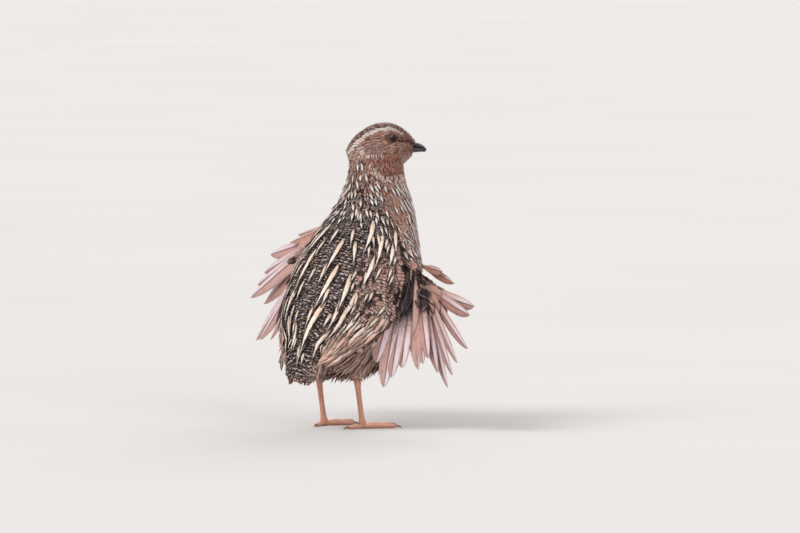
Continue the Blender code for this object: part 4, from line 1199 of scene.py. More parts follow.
def panel_plumage(luck, dark):
    """Grey-brown and mottled; a dark share of the feathers is black-brown instead."""
    first, second = luck.T
    return worn(
        layered(PANEL, (FLANK, 0.5 * first), (BLACK, dark)), shade(244, 224, 210), 0.16 * (first > 0.92),
        2 + (0.35 + 0.5 * second) * (1 - dark), 0.5 * (second > 0.6) * (1 - 0.7 * dark), 0.7 * (1 - dark),
    )


def make_wing_coverts(name):
    """The flap's outer side; its inner side, black as painted shade under the flap; both sides of the arm,
    going black towards the hollow as painted shade; and black down over the feathers' roots.
    """
    wing = WINGS[name]
    sign = wing["sign"]
    outer = Roots(flap_surface(sign), (0.0, -7.3), (0.02, 0.99), spacing=2.7, gap=2.1)
    dark = 0.95 * (chance.random(len(outer.v)) < 0.24 - 0.2 * ramp(outer.v, 0.35, 0.8))
    groups = [outer.grow(
        panel_plumage(outer.luck, dark), 7.4, 4.9, outer.vary(0.09) - 0.12, sunk=1.4,
        proud=0.25 + 0.3 * outer.luck[:, 1], cell=(0, 0, 0.5, 0.5),
    )]
    # The flap's inner side is black: painted shade under the flap
    inner = Roots(flap_surface(sign, 1.7), (0.0, -7.2), (0.3, 0.99), spacing=3.4, gap=3.0)
    groups.append(inner.grow(
        worn(BLACK * 1.4), 8.0, 4.6, sunk=-0.6, proud=-0.9, patch=0.0075, cell=(0.5, 0, 0.45, 0.45),
    ))
    # Each side of the arm: its face, its share of the hollow's painted shade, and its own tint's share and
    # colour
    sides = [(1, 1, 0.5, shade(186, 124, 94)), (-1, 0.25, 0.85, GREY_BROWN)]
    for k, (face, hollow_shading, share, colour) in enumerate(sides):
        roots = Roots(arm_surface(wing, face), (2.8, -9.5), (-0.3, 14.0), spacing=2.6, gap=2.2)
        # black towards the hollow as painted shade, strongest on the right wing's upper face
        hollow = ramp(roots.v, 0.8, 3.2) * (0.97 if sign > 0 else 0.4) * hollow_shading
        plumage = panel_plumage(roots.luck, hollow)
        plumage[:, :3] = layered(plumage[:, :3], (colour, share * (1 - hollow)))
        if face < 0:
            plumage[:, STREAK:] = plumage[:, STREAK:] % 1.0 * 0.2
        groups.append(roots.grow(
            plumage, 7.4, 4.2, roots.vary(0.08), sunk=0.6, proud=0.5, patch=0.0075,
            cell=(0.5 * k, 0.5, 0.45, 0.45),
        ))
    first_root = 4.2 if sign > 0 else 6.8
    down = Roots(arm_surface(wing, 1), (-3.0, -12.6), (first_root, 14.0), spacing=1.9, gap=1.9)
    down.unwrap = down.unwrap[:, ::-1]
    first, second = down.luck.T
    groups.append(down.grow(
        worn(layered(BLACK, (shade(96, 80, 86), 0.6 * first))), 8.0 + 5.0 * second, 1.6, down.vary(0.25),
        sunk=-1.2, proud=2.6 + 1.8 * first, profile=LANCE, hollow=0.2, patch=0.0075,
        cell=(0.955, 0.5, 0.04, 0.45),
    ))
    coat_piece(f"wing_coverts_{name}", "plumage_wing", *groups)


def make_hanging_coat(name):
    """Long loose feathers that hang from the flap's lower end over the thigh, rufous and buff with
    cream streaks."""
    roots = Roots(flap_surface(WINGS[name]["sign"]), (-4.3, -7.2), (0.04, 0.96), spacing=2.8, gap=2.8)
    first, second = roots.luck.T
    ground = layered(FLANK, (BUFF, 0.8 * first), (MANTLE, 0.7 * (second > 0.8)))
    length = 8.0 + 1.9 * (-roots.u - 4.3) + 5.0 * second
    group = roots.grow(
        worn(ground, CREAM, 0.36 * (first < 0.75), blotch=0.25), length, 3.4, roots.vary(0.12) - 0.1,
        sunk=0.8, proud=0.8 + 1.2 * first, profile=LANCE, hollow=0.3, droop=2.5 * second, patch=0.02,
    )
    coat_piece(f"hanging_coat_{name}", "plumage_wing", group)


LIMB_RADIUS = 6.8      # of the coat round a bone of the wing, at the shoulder
LIMB_TAPER = 3.4       # how much less it is at the joint
DOME_START = 0.92      # of the way along it, and the length of the dome that closes it
DOME_LENGTH = 0.26


def limb_surface(near, far):
    """A slim tube from the shoulder to a joint of the wing, with a dome over its end: u falls along it."""
    def surface(u, angle):
        t = -np.asarray(u, float)[..., None]
        dome = np.sqrt(1 - np.clip((t - DOME_START) / DOME_LENGTH, 0, 0.995) ** 2)
        radius = (LIMB_RADIUS - LIMB_TAPER * t) * dome
        return near + (far - near) * t + spokes(unit(far - near), angle) * radius
    surface.turn = -1
    return surface


def make_shoulder_coat(name):
    """Breast-side feathers over the web from the shoulder round the wrist: rufous with white streaks,
    and black on the side that faces down, as painted shade. Barred ones like the back's cover the
    upper arm."""
    wing = WINGS[name]
    sign = wing["sign"]
    near, wrist, elbow = (np.array(wing[key]) * (sign, 1, 1) for key in ("shoulder", "wrist", "elbow"))

    # How far each root's side of the web faces down, into the shade
    def facing_down(roots):
        return ramp(-spokes(unit(wrist - near), roots.v)[:, 2], -0.3, 0.1)
    arm = Roots(limb_surface(near, elbow), (0.3, -0.55 if sign > 0 else -1.1), ROUND, spacing=2.2, gap=1.8)
    barred = panel_plumage(arm.luck, 0.95 * (arm.luck[:, 1] > 0.55) * (abs(arm.u + 0.25) < 0.25))
    at_ends = (RUFOUS, 0.8 * ramp(arm.u, -0.1, 0.1)), (PANEL, 0.7 * ramp(-arm.u, 0.6, 0.8))
    barred[:, :3] = layered(barred[:, :3], *at_ends)
    arm = arm.grow(barred, 6.4, 3.6, sunk=1.0, proud=0.4, patch=0.012, cell=(0, 0, 0.32, 1))
    web = Roots(limb_surface(near, wrist), (0.35, -1.1), ROUND, spacing=1.9, gap=1.6)
    first, second = web.luck.T
    # painted shade: black on the side that faces down, stronger on the right wing
    below = facing_down(web) * ramp(-web.u, 0.1, 0.4)
    ground = layered(
        RUFOUS, (PINK_BROWN, second), (BLACK, 0.7 * (second > 0.76)),
        (BLACK, (0.95 if sign > 0 else 0.5) * below),
    )
    plumage = worn(ground, WHITE, 0.5 * (first > 0.4) * (1 - below), 0.0, 0.2, 0.2)
    web = web.grow(
        plumage, 6.4, 3.1, sunk=1.0, proud=0.4, profile=LANCE, patch=0.012, cell=(0.33, 0, 0.32, 1),
    )
    lined = Roots(limb_surface(near, wrist), (0.3, -0.55), ROUND, spacing=3.0, gap=3.2)
    # the streaked feathers are left off the painted shade below
    shown = (lined.luck[:, 0] > 0.4) & (facing_down(lined) < 0.2)
    lined = lined.grow(
        worn(BLACK, WHITE, streak=0.66), 7.2, 2.5, sunk=0.2, proud=1.1, profile=LANCE, patch=0.012,
        cell=(0.66, 0, 0.32, 1),
    )
    coat_piece(f"shoulder_coat_{name}", "plumage_wing", arm, web, kept(lined, shown))


for make in (make_wing_coverts, make_hanging_coat, make_shoulder_coat):
    for name in WINGS:
        make(name)


# Flight feathers
# Ten stiff primaries on each hand and five secondaries on each arm, spread in a fan, with a greater
# covert over each root, the alula on the thumb and five tertials. Their webs are thin, asymmetric
# and pinkish brown, with a painted silvery sheen in a strip before the shaft and a dark line behind
# it, and painted shade of the coverts over their roots.

FLIGHT_ROWS = 22
FLIGHT_COLUMNS = 9
SHINGLE = math.radians(14.4)
GREATER_COVERTS = 12
WEB_THICK = 0.3
CAMBER = 0.1           # how far a web's edges drop, as a share of its width
# Width of a web, the share of it that lies before the shaft, and how blunt the tip is
PRIMARY_SHAPE = (7.6, 0.34, 0.34)
SECONDARY_SHAPE = (8.4, 0.42, 0.5)
QUILL_FACE = (0.66, -0.75, 0.0)     # the way the broad side of the lone quills faces
SIDE_APART = 0.24      # of a web's cell of the unwrap, from its middle to that of each side's patch
# The dark root is painted shade of the coverts, and it reaches less far on a web's forward side
FORWARD_DARK = 0.3     # how far the dark root reaches on a web's forward side, against its backward one


def flight_web(root, tip, face, width, lead, roll, bow, blunt, hand=1):
    """Grid of one feather: from root to tip along a bowed shaft, and across from the leading edge to
    the trailing one, which hand turns over. The width rises from the quill, and the tip is round."""
    t = np.linspace(0, 1, FLIGHT_ROWS)[:, None]
    t = 1 - (1 - t) ** 1.25
    way = unit(tip - root)
    side = unit(np.cross(way, face)) * hand
    out = np.cross(side, way) * hand
    across = side * math.cos(roll) + out * math.sin(roll)
    above = np.cross(across, way) * hand
    wide = width * np.minimum(1.0, 0.18 + 1.9 * t)
    past = np.clip((t - 0.6) / 0.4, 0, 1)
    wide = wide * (1 - past * past * (1 - blunt)) * np.sqrt(np.maximum(1 - past ** 6, 0.0004))
    share = np.linspace(-1, 1, FLIGHT_COLUMNS)[None, :]
    reach = np.where(share < 0, share * lead, share * (1 - lead)) * wide
    lift = 4 * bow * t * (1 - t) - CAMBER * wide * share ** 2
    points = (
        root + way * lengths(tip - root) * t[..., None]
        + across * reach[..., None] + above * lift[..., None]
    )
    return points, np.stack(np.broadcast_arrays(share, t), -1), above


def flight_faces(rows, columns):
    """Quads of a closed web: its upper grid, its lower grid, and the rim between them."""
    k, i = grid_of(np.arange(rows - 1), np.arange(columns - 1))
    a = k * columns + i
    upper = np.stack([a, a + 1, a + columns + 1, a + columns], -1).reshape(-1, 4)
    under = rows * columns
    top = np.arange(columns - 1)
    end = (rows - 1) * columns + top
    left = np.arange(rows - 1) * columns
    right = left + columns - 1
    edges = [(top + 1, top), (end, end + 1), (left, left + columns), (right + columns, right)]
    rim = [np.stack([p, q, q + under, p + under], -1) for p, q in edges]
    return np.vstack([upper, upper[:, ::-1] + under, *rim])


def flight_paint():
    """A stiff web: pinkish brown, a painted silvery sheen in a strip before the shaft, a dark line behind
    it, a brown leading edge, a pale rim, fine barbs, and a dark root painted as the shade of the coverts."""
    paint = Paint("flight_feather")
    across, along, luck = paint.split("vane")
    strip, dark, warm = paint.split("pattern")
    half = abs(across)
    fine = paint.noise(1200.0)
    # painted sheen: a silvery strip of light before the shaft, weaker towards the root
    painted_sheen = (across + fine * 0.2).rise(-0.78, -0.5) * across.fall(-0.06, 0.02)
    painted_sheen = painted_sheen * (0.35 * along.rise(0.2, 0.5) + 0.65 * (along + fine * 0.1).rise(0.45, 0.95))
    line = across.rise(0.0, 0.05) * across.fall(0.1, 0.2)
    clouded = paint.noise(330.0, 3.0).rise(0.5, 0.7) * (1 - painted_sheen * strip)
    root = (along - dark + (fine - 0.5) * 0.3).fall(-0.3, 0.0)
    shaft = half.fall(0.0, 0.07)
    barb = (along * 70.0 + half * 8.0).wave()
    colour = paint.mix(
        (204, 160, 150),
        ((174, 130, 122), paint.noise(240.0)),
        ((222, 190, 182), (luck - 0.4) * 0.5),
        ((200, 136, 104), warm),
        ((186, 138, 118), across.fall(-0.98, -0.74) * 0.75),
        # the painted silvery sheen
        ((236, 226, 236), painted_sheen * strip),
        ((230, 212, 208), (half * 0.9 + along * 0.35).rise(1.02, 1.22) * 0.75),
        ((92, 58, 54), line * 0.8 * along.fall(0.9, 1.0)),
        ((132, 94, 84), clouded * 0.35),
        ((40, 28, 38), root * 0.95),
        ((206, 170, 150), shaft * (1 - root) * 0.8),
        ((60, 38, 34), 0.07 + 0.07 * barb),
    )
    return paint.finish(colour, 0.5, specular=0.4, height=barb * 0.3 + shaft * 1.5, reach=0.00014)


flight_finish = flight_paint()


def web_piece(name, webs, finish, replaced=()):
    """Joins feather webs into one piece, each with its own cell of the unwrap."""
    rows, columns = FLIGHT_ROWS, FLIGHT_COLUMNS
    each = flight_faces(rows, columns)
    points, vanes, patterns, places, faces = [], [], [], [], []
    cells = math.ceil(math.sqrt(len(webs)))
    for n, (grid, vane, above, pattern, luck) in enumerate(webs):
        full = np.minimum(1, 2.2 * (1 - vane[..., 0:1] ** 2) + 0.25)
        points.append(np.stack([grid, grid - above * WEB_THICK * full]).reshape(-1, 3))
        marked = np.concatenate([vane, np.full((rows, columns, 1), luck)], -1)
        vanes.append(np.stack([marked, marked]).reshape(-1, 3))
        # the web's forward face gets less of the painted shade at the root
        forward = np.array(pattern) * (1, FORWARD_DARK, 1)
        patterns.append(np.repeat([pattern, forward], rows * columns, axis=0))
        place = np.stack([vane[..., 0] * 0.2, vane[..., 1] - 0.5], -1) * 0.9
        cell = np.array([n % cells + 0.5, n // cells + 0.5])
        sides = np.stack([place - (SIDE_APART, 0), place + (SIDE_APART, 0)])
        places.append(((sides + cell) / cells).reshape(-1, 2))
        faces.append(faced_out(points[-1] - points[-1].mean(0), each) + n * 2 * rows * columns)
    piece = piece_from(name, np.vstack(points), np.vstack(faces).tolist(), finish, replaced)
    spots_on(piece, vane=np.vstack(vanes), pattern=np.vstack(patterns))
    unwrap_on(piece, np.vstack(places))


def make_flight_feathers(name):
    """Primaries, secondaries, greater coverts and alula of one wing."""
    wing = WINGS[name]
    sign = wing["sign"]
    roots, tips, outs = flight_rows(wing)
    webs = []
    for n in range(FLIGHT_FEATHERS):
        width, lead, blunt = PRIMARY_SHAPE if n < PRIMARIES else SECONDARY_SHAPE
        roll = -SHINGLE + chance.normal(0, 0.05)
        dark = np.interp(n, DARK_FEATHERS, wing["dark"])
        grid = flight_web(roots[n], tips[n], outs[n], width, lead, roll, bow=1.2, blunt=blunt, hand=sign)
        # pattern: the painted sheen's strength, how far the coverts' painted shade reaches from the root,
        # and warmth
        webs.append((*grid, (1.0 - 0.3 * chance.random(), dark, 0.0), chance.random()))
    for side, reach, lift in ((1, 0.36, 1.8), (-1, 0.43, 2.0)):
        for at in np.linspace(0.8, FLIGHT_FEATHERS - 1.4, GREATER_COVERTS):
            root, tip, out = (along_rows(rows, at) for rows in (roots, tips, outs))
            out = unit(out) * side
            end = root + (tip - root) * (reach + 0.05 * chance.random()) + out * lift
            grid = flight_web(
                root + out * 1.3, end, out, 7.0, lead=0.42, roll=-SHINGLE * side, bow=0.7, blunt=0.6,
                hand=sign * side,
            )
            # painted shade at the root only for the coverts on the outer side
            dark = (2.6 * np.interp(at, DARK_FEATHERS, wing["dark"]) - 0.25) * (side > 0)
            webs.append((*grid, (0.15, dark, 0.35 * (side > 0)), chance.random()))
    for near, far in wing.get("quills", ()):
        ends, face = np.array([near, far]), unit(np.array(QUILL_FACE))
        grid = flight_web(*ends, face, 3.2, lead=0.9, roll=0.0, bow=0.6, blunt=0.5)
        webs.append((*grid, (0.0, 0.3, 0.0), chance.random()))
    start, *ends = (np.array(p) * (sign, 1, 1) for p in wing["alula"])
    for k, end in enumerate(ends):
        grid = flight_web(
            start - UP * k * 0.8, end, outs[0], 4.7, lead=0.3, roll=-0.14, bow=-0.4, blunt=0.2, hand=sign,
        )
        webs.append((*grid, (0.6, 0.2, 0.5), chance.random()))
    web_piece(f"flight_feathers_{name}", webs, flight_finish, (f"wing_{name}",))


for name in WINGS:
    make_flight_feathers(name)


# Tertials
# Five broad soft feathers over the inner end of each folded arm, patterned as the back is: brown with
# dark bars and a cream shaft streak.

TERTIAL_LINES = [
    ((29.0, 5.6, 78.4), (34.6, 4.5, 56.5)),
    ((29.2, 0.5, 76.3), (33.2, -2.0, 50.5)),
    ((28.0, -4.0, 76.0), (30.8, -9.0, 44.0)),
    ((26.0, -9.0, 74.0), (27.0, -15.5, 39.0)),
    ((23.0, -14.0, 70.0), (21.0, -21.5, 40.0)),
]


def soft_web_paint():
    """A soft broad web: brown, wavy dark bars edged with buff, a cream shaft streak and a pale rim."""
    paint = Paint("soft_web")
    across, along, luck = paint.split("vane")
    streak, dark, pale = paint.split("pattern")
    half = abs(across)
    fine = paint.noise(900.0)
    wave = (along * 8.0 - half * half * 0.6 + fine * 0.5 + luck).wave()
    taper = streak * (1 - 0.7 * along.rise(0.6, 1.0))
    barb = (along * 60.0 + half * 8.0).wave()
    colour = paint.mix(
        (160, 134, 122),
        ((126, 104, 98), paint.noise(300.0)),
        ((50, 36, 34), wave.fall(-0.5, 0.1) * dark),
        ((224, 196, 176), wave.rise(0.7, 0.95) * 0.7),
        ((220, 194, 172), (half * 0.85 + along * 0.3).rise(0.98, 1.1) * pale),
        ((240, 222, 206), (taper - half).rise(-0.03, 0.04) * streak.rise(0.01, 0.05)),
        ((30, 20, 19), 0.07 + 0.07 * barb),
    )
    return paint.finish(colour, 0.62, specular=0.3, height=barb * 0.3 + half.fall(0.0, 0.06), reach=0.00012)


soft_web = soft_web_paint()


def make_tertials(name):
    """Five bowed webs, each lying over the next."""
    sign = WINGS[name]["sign"]
    webs = []
    for k, (root, tip) in enumerate(TERTIAL_LINES):
        root, tip = np.array(root) * (sign, 1, 1), np.array(tip) * (sign, 1, 1)
        out = unit(np.array([0.85 * sign, -0.5 + 0.03 * k, 0.1]))
        grid = flight_web(
            root - out * 2.6, tip - out * 1.8, out, 10.0, lead=0.5, roll=0.14 * sign, bow=1.2, blunt=0.5,
        )
        webs.append((*grid, (0.13, 0.9, 0.8), chance.random()))
    web_piece(f"tertials_{name}", webs, soft_web)


for name in WINGS:
    make_tertials(name)


# Tail
# Ten short soft tail feathers hidden under long coverts, drooping and slightly spread: dark brown
# with pale scribbled bars and thin buff shafts.

TAIL_ROOT = np.array([0.0, -27.5, 43.0])
TAIL_TIP = np.array([0.0, -33.6, 24.2])
TAIL_SPREAD = math.radians(20.0)
TAIL_WIDE = 11.0       # from the outermost root to the other
# The tail feathers, then the coverts: their number, length as a share, level, width and dark bars
TAIL_LAYERS = [(10, 1.0, -1.0, 5.8, 0.9), (8, 0.9, -6.0, 5.4, 0.2)]


def make_tail():
    """Webs fanned about the tail's root, the middle pair on top, and a layer of coverts over them."""
    way = unit(TAIL_TIP - TAIL_ROOT)
    length = lengths(TAIL_TIP - TAIL_ROOT)
    side = np.array([1.0, 0.0, 0.0])
    out = np.cross(way, side)
    out = -out if out[1] > 0 else out
    webs = []
    for count, reach, level, width, dark in TAIL_LAYERS:
        for share in np.arange(count) / (count - 1) - 0.5:
            turn = TAIL_SPREAD * share
            line = way * math.cos(turn) + side * math.sin(turn)
            start = TAIL_ROOT + side * share * TAIL_WIDE + out * (level + 1.4 - 2.8 * abs(share))
            end = start + line * length * reach * (1 - 0.28 * abs(share))
            roll = 0.16 if share > 0 else -0.16
            grid = flight_web(start, end, out, width, lead=0.5, roll=roll, bow=0.8, blunt=0.55)
            webs.append((*grid, (0.04, dark, 0.5), chance.random()))
    web_piece("tail_feathers", webs, soft_web, ("tail",))


make_tail()


# Bill
# A short stout horn bill: a curved upper half with a soft cover over each nostril, and a straight
# lower half that fits inside it. Blue-grey at the base above, black along the edges and at the tip.

# Slices across the bill: distance forward, top Z, bottom Z, half width
BILL_UPPER = np.array([
    (33.3, 143.0, 139.6, 2.6),
    (36.0, 142.4, 139.5, 2.35),
    (38.6, 141.6, 139.2, 1.85),
    (40.3, 140.7, 138.7, 1.4),
    (41.5, 139.5, 137.9, 0.9),
    (42.2, 138.4, 137.5, 0.4),
])
BILL_LOWER = np.array([
    (33.3, 140.1, 136.6, 2.35),
    (36.5, 140.0, 137.0, 2.1),
    (38.6, 139.7, 137.2, 1.65),
    (40.2, 139.2, 137.3, 1.15),
    (41.6, 138.3, 137.2, 0.45),
])
BILL_POWER = 2.1
RIDGE = 0.12           # height of the ridge above and of the keel below
NOSTRIL = (37.6, 140.8)


def bill_paint():
    """Horn: grey-blue at the base and on the ridge, black at the cutting edge, with growth lines."""
    paint = Paint("horn")
    along, height, upper = paint.split("vane")
    grain = paint.noise(900.0, 4.0)
    lines = (along * 90.0 + grain * 3.0).math("SINE")
    colour = paint.mix(
        (46, 38, 44),
        ((132, 126, 146), (height + grain * 0.1).rise(0.72, 0.95) * along.fall(0.7, 1.0) * upper * 0.85),
        ((24, 18, 22), height.fall(0.2, 0.5)),
        ((150, 144, 152), 0.03 + 0.03 * lines),
    )
    return paint.finish(colour, 0.32, height=lines * 0.4 + grain, reach=0.00005)


horn = bill_paint()


def make_bill_half(node, rows, ridge):
    """Slices across the line of sight, squarer at the cutting edge, with a raised ridge or keel and,
    above, a hollow at each nostril under its soft cover."""
    t, a = grid_of(np.linspace(0, len(rows) - 1, 40), once_round(40))
    forward, middle, half, wide = head_slices(rows, t)
    x, y = outline(a, BILL_POWER)
    height = middle + y * half + ridge * RIDGE * ramp(y * ridge, 0.85, 1.0)
    side = x * wide
    if ridge > 0:
        before, above = forward - NOSTRIL[0], height - NOSTRIL[1]
        hollow = ramp(-np.hypot(before / 1.3, above / 0.45), -1.0, -0.3)
        cover = ramp(-np.hypot((before + 0.6) / 1.7, (above - 0.75) / 0.7), -1.0, -0.4)
        side = side * (1 - 0.3 * hollow + 0.1 * cover)
    points, faces = tube(head_point(forward, side, height))
    piece = piece_from(f"{node}_horn", points, faces, horn, (node,))
    upper = np.full_like(t, max(ridge, 0))
    share = np.stack([t / (len(rows) - 1), (y * ridge + 1) / 2, upper], -1).reshape(-1, 3)
    spots_on(piece, vane=np.vstack([share, [0, 0.5, 0], [1, 0.5, 0]]))


make_bill_half("bill_upper", BILL_UPPER, 1)
make_bill_half("bill_lower", BILL_LOWER, -1)


# Eyes and lids
# Wet dark-brown eyes with a round black pupil behind a clear bulging cornea, set in the socket with
# two thin lids of bare grey skin, finely folded round the opening.

LID_OPEN = (2.2, 2.05)  # half length and half height of the opening
LID_MIDDLE = 2.1
LID_OUT = 1.28         # of the lids' rim beyond the middle of the eye
LID_THICK = 0.27
CORNER_REACH = 0.3     # of the drawn-out corners, in radians round the opening
LID_STEPS = 72
LID_SIDES = 14


def eye_paint():
    """Iris threads round a black pupil, in a wet glossy finish."""
    paint = Paint("eye")
    out, turn, _ = paint.split("vane")
    threads = (turn * 40.0 + paint.noise(2500.0) * 6.0).math("SINE")
    iris = paint.mix(
        (58, 34, 24), ((92, 60, 42), threads * 0.5 + 0.5), ((16, 10, 9), out.rise(0.72, 0.86)),
    )
    return paint.finish(paint.mix((4, 3, 3), (iris, out.rise(0.5, 0.56))), 0.03, specular=0.25)


def lid_paint():
    """Bare lid skin: grey-brown, in fine folds round the eye."""
    paint = Paint("lid")
    grain = paint.noise(3500.0, 3.0)
    colour = paint.mix((46, 34, 30), ((124, 96, 84), grain))
    return paint.finish(colour, 0.5, specular=0.4, height=grain, reach=0.00008)


eye_finish = eye_paint()
lid_finish = lid_paint()


def make_eye(name):
    """A ball about the head's side axis, its cornea swelling out, and a folded ring of lid on it."""
    sign = WINGS[name]["sign"]
    a, b = grid_of(np.linspace(0.02, math.pi - 0.02, 40), once_round(48))
    bulge = EYE_RADIUS * (1 + 0.05 * ramp(-a, -0.75, -0.2))
    out = bulge * np.sin(a)
    side = sign * (EYE_SIDE + bulge * np.cos(a))
    rings = head_point(EYE[0] + out * np.cos(b) * sign, side, EYE[1] + out * np.sin(b))
    points, faces = tube(rings[::-1])
    eye = piece_from(f"eyeball_{name}", points, faces, eye_finish, (f"eye_{name}",))
    disc = np.stack([np.sin(np.minimum(a, 1.5)), b / math.tau, np.zeros_like(a)], -1)[::-1].reshape(-1, 3)
    spots_on(eye, vane=np.vstack([disc, [1, 0, 0], [0, 0, 0]]))
    turn, section = grid_of(once_round(LID_STEPS), once_round(LID_SIDES))
    fold = 1 + 0.12 * np.sin(section * 3 + 2 * np.cos(turn))
    thick = (LID_THICK + 0.05 * np.sin(turn)) * fold
    reach = 1 + (thick * np.cos(section) * 1.25 + 0.2) / LID_MIDDLE
    behind = 0.28 * np.exp(-((turn - math.pi) / CORNER_REACH) ** 2)
    before = 0.18 * np.exp(-(np.minimum(turn, math.tau - turn) / CORNER_REACH) ** 2)
    x = LID_OPEN[0] * np.cos(turn) * reach * (1 + (behind + before) * 0.5)
    y = LID_OPEN[1] * np.sin(turn) * reach
    out = EYE_SIDE + LID_OUT + thick * np.sin(section) - 0.12 * (x / LID_MIDDLE) ** 2
    ring = head_point(EYE[0] + x, sign * out, EYE[1] + y).reshape(-1, 3)
    quads = ring_quads(LID_STEPS, LID_SIDES, True)[:, [0, 3, 2, 1]][:, ::sign]
    piece_from(f"lid_{name}", ring, quads.tolist(), lid_finish)


for name in WINGS:
    make_eye(name)


# Legs and feet
# Bare shanks and four toes in horny skin, pale orange pink: broad overlapping scutes down the front,
# fine round scales behind, padded joints under the toes, and a curved brown claw on each.

# The right shank, down to the ankle: X, Y, Z, radius
SHANK = np.array([
    (13.0, -2.9, 27.5, 2.0),
    (13.0, -2.8, 24.4, 2.1),
    (13.0, -2.4, 20.5, 1.5),
    (13.0, -0.9, 12.0, 1.3),
    (13.0, 0.3, 5.6, 1.45),
    (13.0, 0.8, 2.6, 1.9),
    (13.0, 1.2, 1.6, 1.5),
])
SCUTES = 20
ANKLE = np.array([13.0, 0.8, 2.3])
# Toes: turn outward from straight ahead in degrees, length, radius at the root and at the end
TOES = {
    "inner": (-34.0, 15.0, 1.35, 1.0),
    "middle": (3.0, 20.5, 1.45, 1.05),
    "outer": (37.0, 16.5, 1.35, 1.0),
    "hind": (196.0, 7.5, 1.15, 0.9),
}
TOE_PAD = 0.13         # how far the pads under its joints swell a toe
CLAW_LENGTH = 3.6
CLAW_IN_TOE = 0.5


def leg_paint():
    """Scaly skin: a pale orange pink, darker between the scales and paler at their edges."""
    paint = Paint("leg_skin")
    along, _, front = paint.split("vane")
    plate = along.math("FRACT")
    place = paint.node("TexCoord", out="Object")
    scale = paint.node("TexVoronoi", {"feature": "DISTANCE_TO_EDGE"}, {"Vector": place, "Scale": 1500.0})
    groove = plate.fall(0.0, 0.2) * front + scale.fall(0.0, 0.12) * (1 - front)
    colour = paint.mix(
        (232, 180, 156),
        ((212, 144, 116), paint.noise(350.0)),
        ((142, 78, 58), groove * 0.7),
        ((240, 200, 176), plate.rise(0.7, 1.0) * front * 0.45),
    )
    return paint.finish(colour, 0.45, specular=0.45, height=1 - groove, reach=0.00018)


def claw_paint():
    """Horn, pale brown at the root and dark at the point."""
    paint = Paint("claw_horn")
    along, _, _ = paint.split("vane")
    grain = paint.noise(1600.0)
    colour = paint.mix((184, 128, 100), ((82, 56, 48), (along + grain * 0.2).rise(0.15, 0.9)))
    return paint.finish(colour, 0.38, height=grain, reach=0.00005)


leg_skin = leg_paint()
claw_horn = claw_paint()


def limb(rows, steps, sides, swell):
    """Rings square to the line through rows of X, Y, Z and radius. swell gives each point's height over
    that radius from its distance along and its angle, which is 0 on the front or upper side."""
    t = np.linspace(0, len(rows) - 1, steps)
    row = along_rows(rows, t)
    way = unit(np.gradient(row[:, :3], axis=0))
    front = np.where(abs(way[:, 2:3]) < 0.7, UP, [0.0, 1.0, 0.0])
    front = unit(front - way * (way * front).sum(-1, keepdims=True))
    side = np.cross(way, front)
    along, angle = grid_of(t / (len(rows) - 1), once_round(sides))
    radius = row[:, 3:4] + swell(along, angle)
    spoke = front[:, None] * np.cos(angle)[..., None] + side[:, None] * np.sin(angle)[..., None]
    return row[:, None, :3] + spoke * radius[..., None], along, angle


def front_share(angle):
    """1 on the front or upper side of a limb, and 0 behind."""
    return ramp(np.cos(angle), 0.1, 0.5)


def scaly(count, height):
    """Plates that each rise to their lower edge and step back down, on the front half of a limb."""
    def swell(along, angle):
        front = front_share(angle)
        plates = height * front * ((along * count) % 1.0) ** 2
        return plates - height * 0.3 * (1 - front) * np.cos(angle * 9) ** 2
    return swell


def limb_piece(name, parts, finish, replaced):
    """Closed limbs joined into one piece. Each part is a limb's rings, distances and angles, and the
    number of its plates."""
    points, faces = tubes([rings for rings, *_ in parts])
    vanes = []
    for _, along, angle, count in parts:
        vane = np.stack([along * count, angle / math.tau, front_share(angle)], -1).reshape(-1, 3)
        vanes.append(np.vstack([vane, [0, 0, 0], [count, 0, 0]]))
    spots_on(piece_from(name, points, faces, finish, replaced), vane=np.vstack(vanes))


def make_leg(name):
    """The shank with its hock, four padded toes, and a claw on each."""
    sign = WINGS[name]["sign"]
    parts = [(*limb(SHANK * (sign, 1, 1, 1), 160, 28, scaly(SCUTES, 0.13)), SCUTES)]
    claws = []
    for turn, length, thick, thin in TOES.values():
        angle = math.radians(turn) * sign
        way = np.array([math.sin(angle), math.cos(angle), 0.0])
        t = np.linspace(0, 1, 9)[:, None]
        radius = thick + (thin - thick) * t + TOE_PAD * np.cos(t * 6 * math.pi) ** 2
        lift = radius * 0.9 + 0.14 * np.sin(math.pi * np.minimum(t * 1.4, 1))
        lift[0] += 0.6
        line = ANKLE * (sign, 1, 0) + way * length * t + UP * lift
        plates = max(6, round(length * 0.8))
        rings, *spread = limb(np.hstack([line, radius]), 90, 22, scaly(plates, 0.1))
        rings[-1] = rings[-1].mean(0) + (rings[-1] - rings[-1].mean(0)) * 0.5
        rings[..., 2] = np.maximum(rings[..., 2], 0.0)
        parts.append((rings, *spread, plates))
        t = np.linspace(0, 1, 8)[:, None]
        reach = length - CLAW_IN_TOE + (CLAW_LENGTH + 0.4) * t
        height = thin * 1.05 + 0.25 * np.sin(math.pi * t) - 0.85 * t * t
        line = ANKLE * (sign, 1, 0) + way * reach + UP * height
        radius = 0.72 * thin * (1 - t) ** 0.8 + 0.1
        rings, *spread = limb(np.hstack([line, radius]), 30, 16, lambda along, angle: 0 * along)
        rings[..., 2] = np.maximum(rings[..., 2], 0.02)
        claws.append((rings, *spread, 1))
    limb_piece(f"leg_{name}", parts, leg_skin, (f"shank_{name}", f"foot_{name}"))
    limb_piece(f"claws_{name}", claws, claw_horn, [f"claw_{toe}_{name}" for toe in TOES])


for name in WINGS:
    make_leg(name)


# Floor, light and camera
# A plain pale studio floor, one broad soft key lamp, a fill and a rim lamp, and pale air all round.
# The camera looks at the bird's right and back, from a little above, through a long lens.

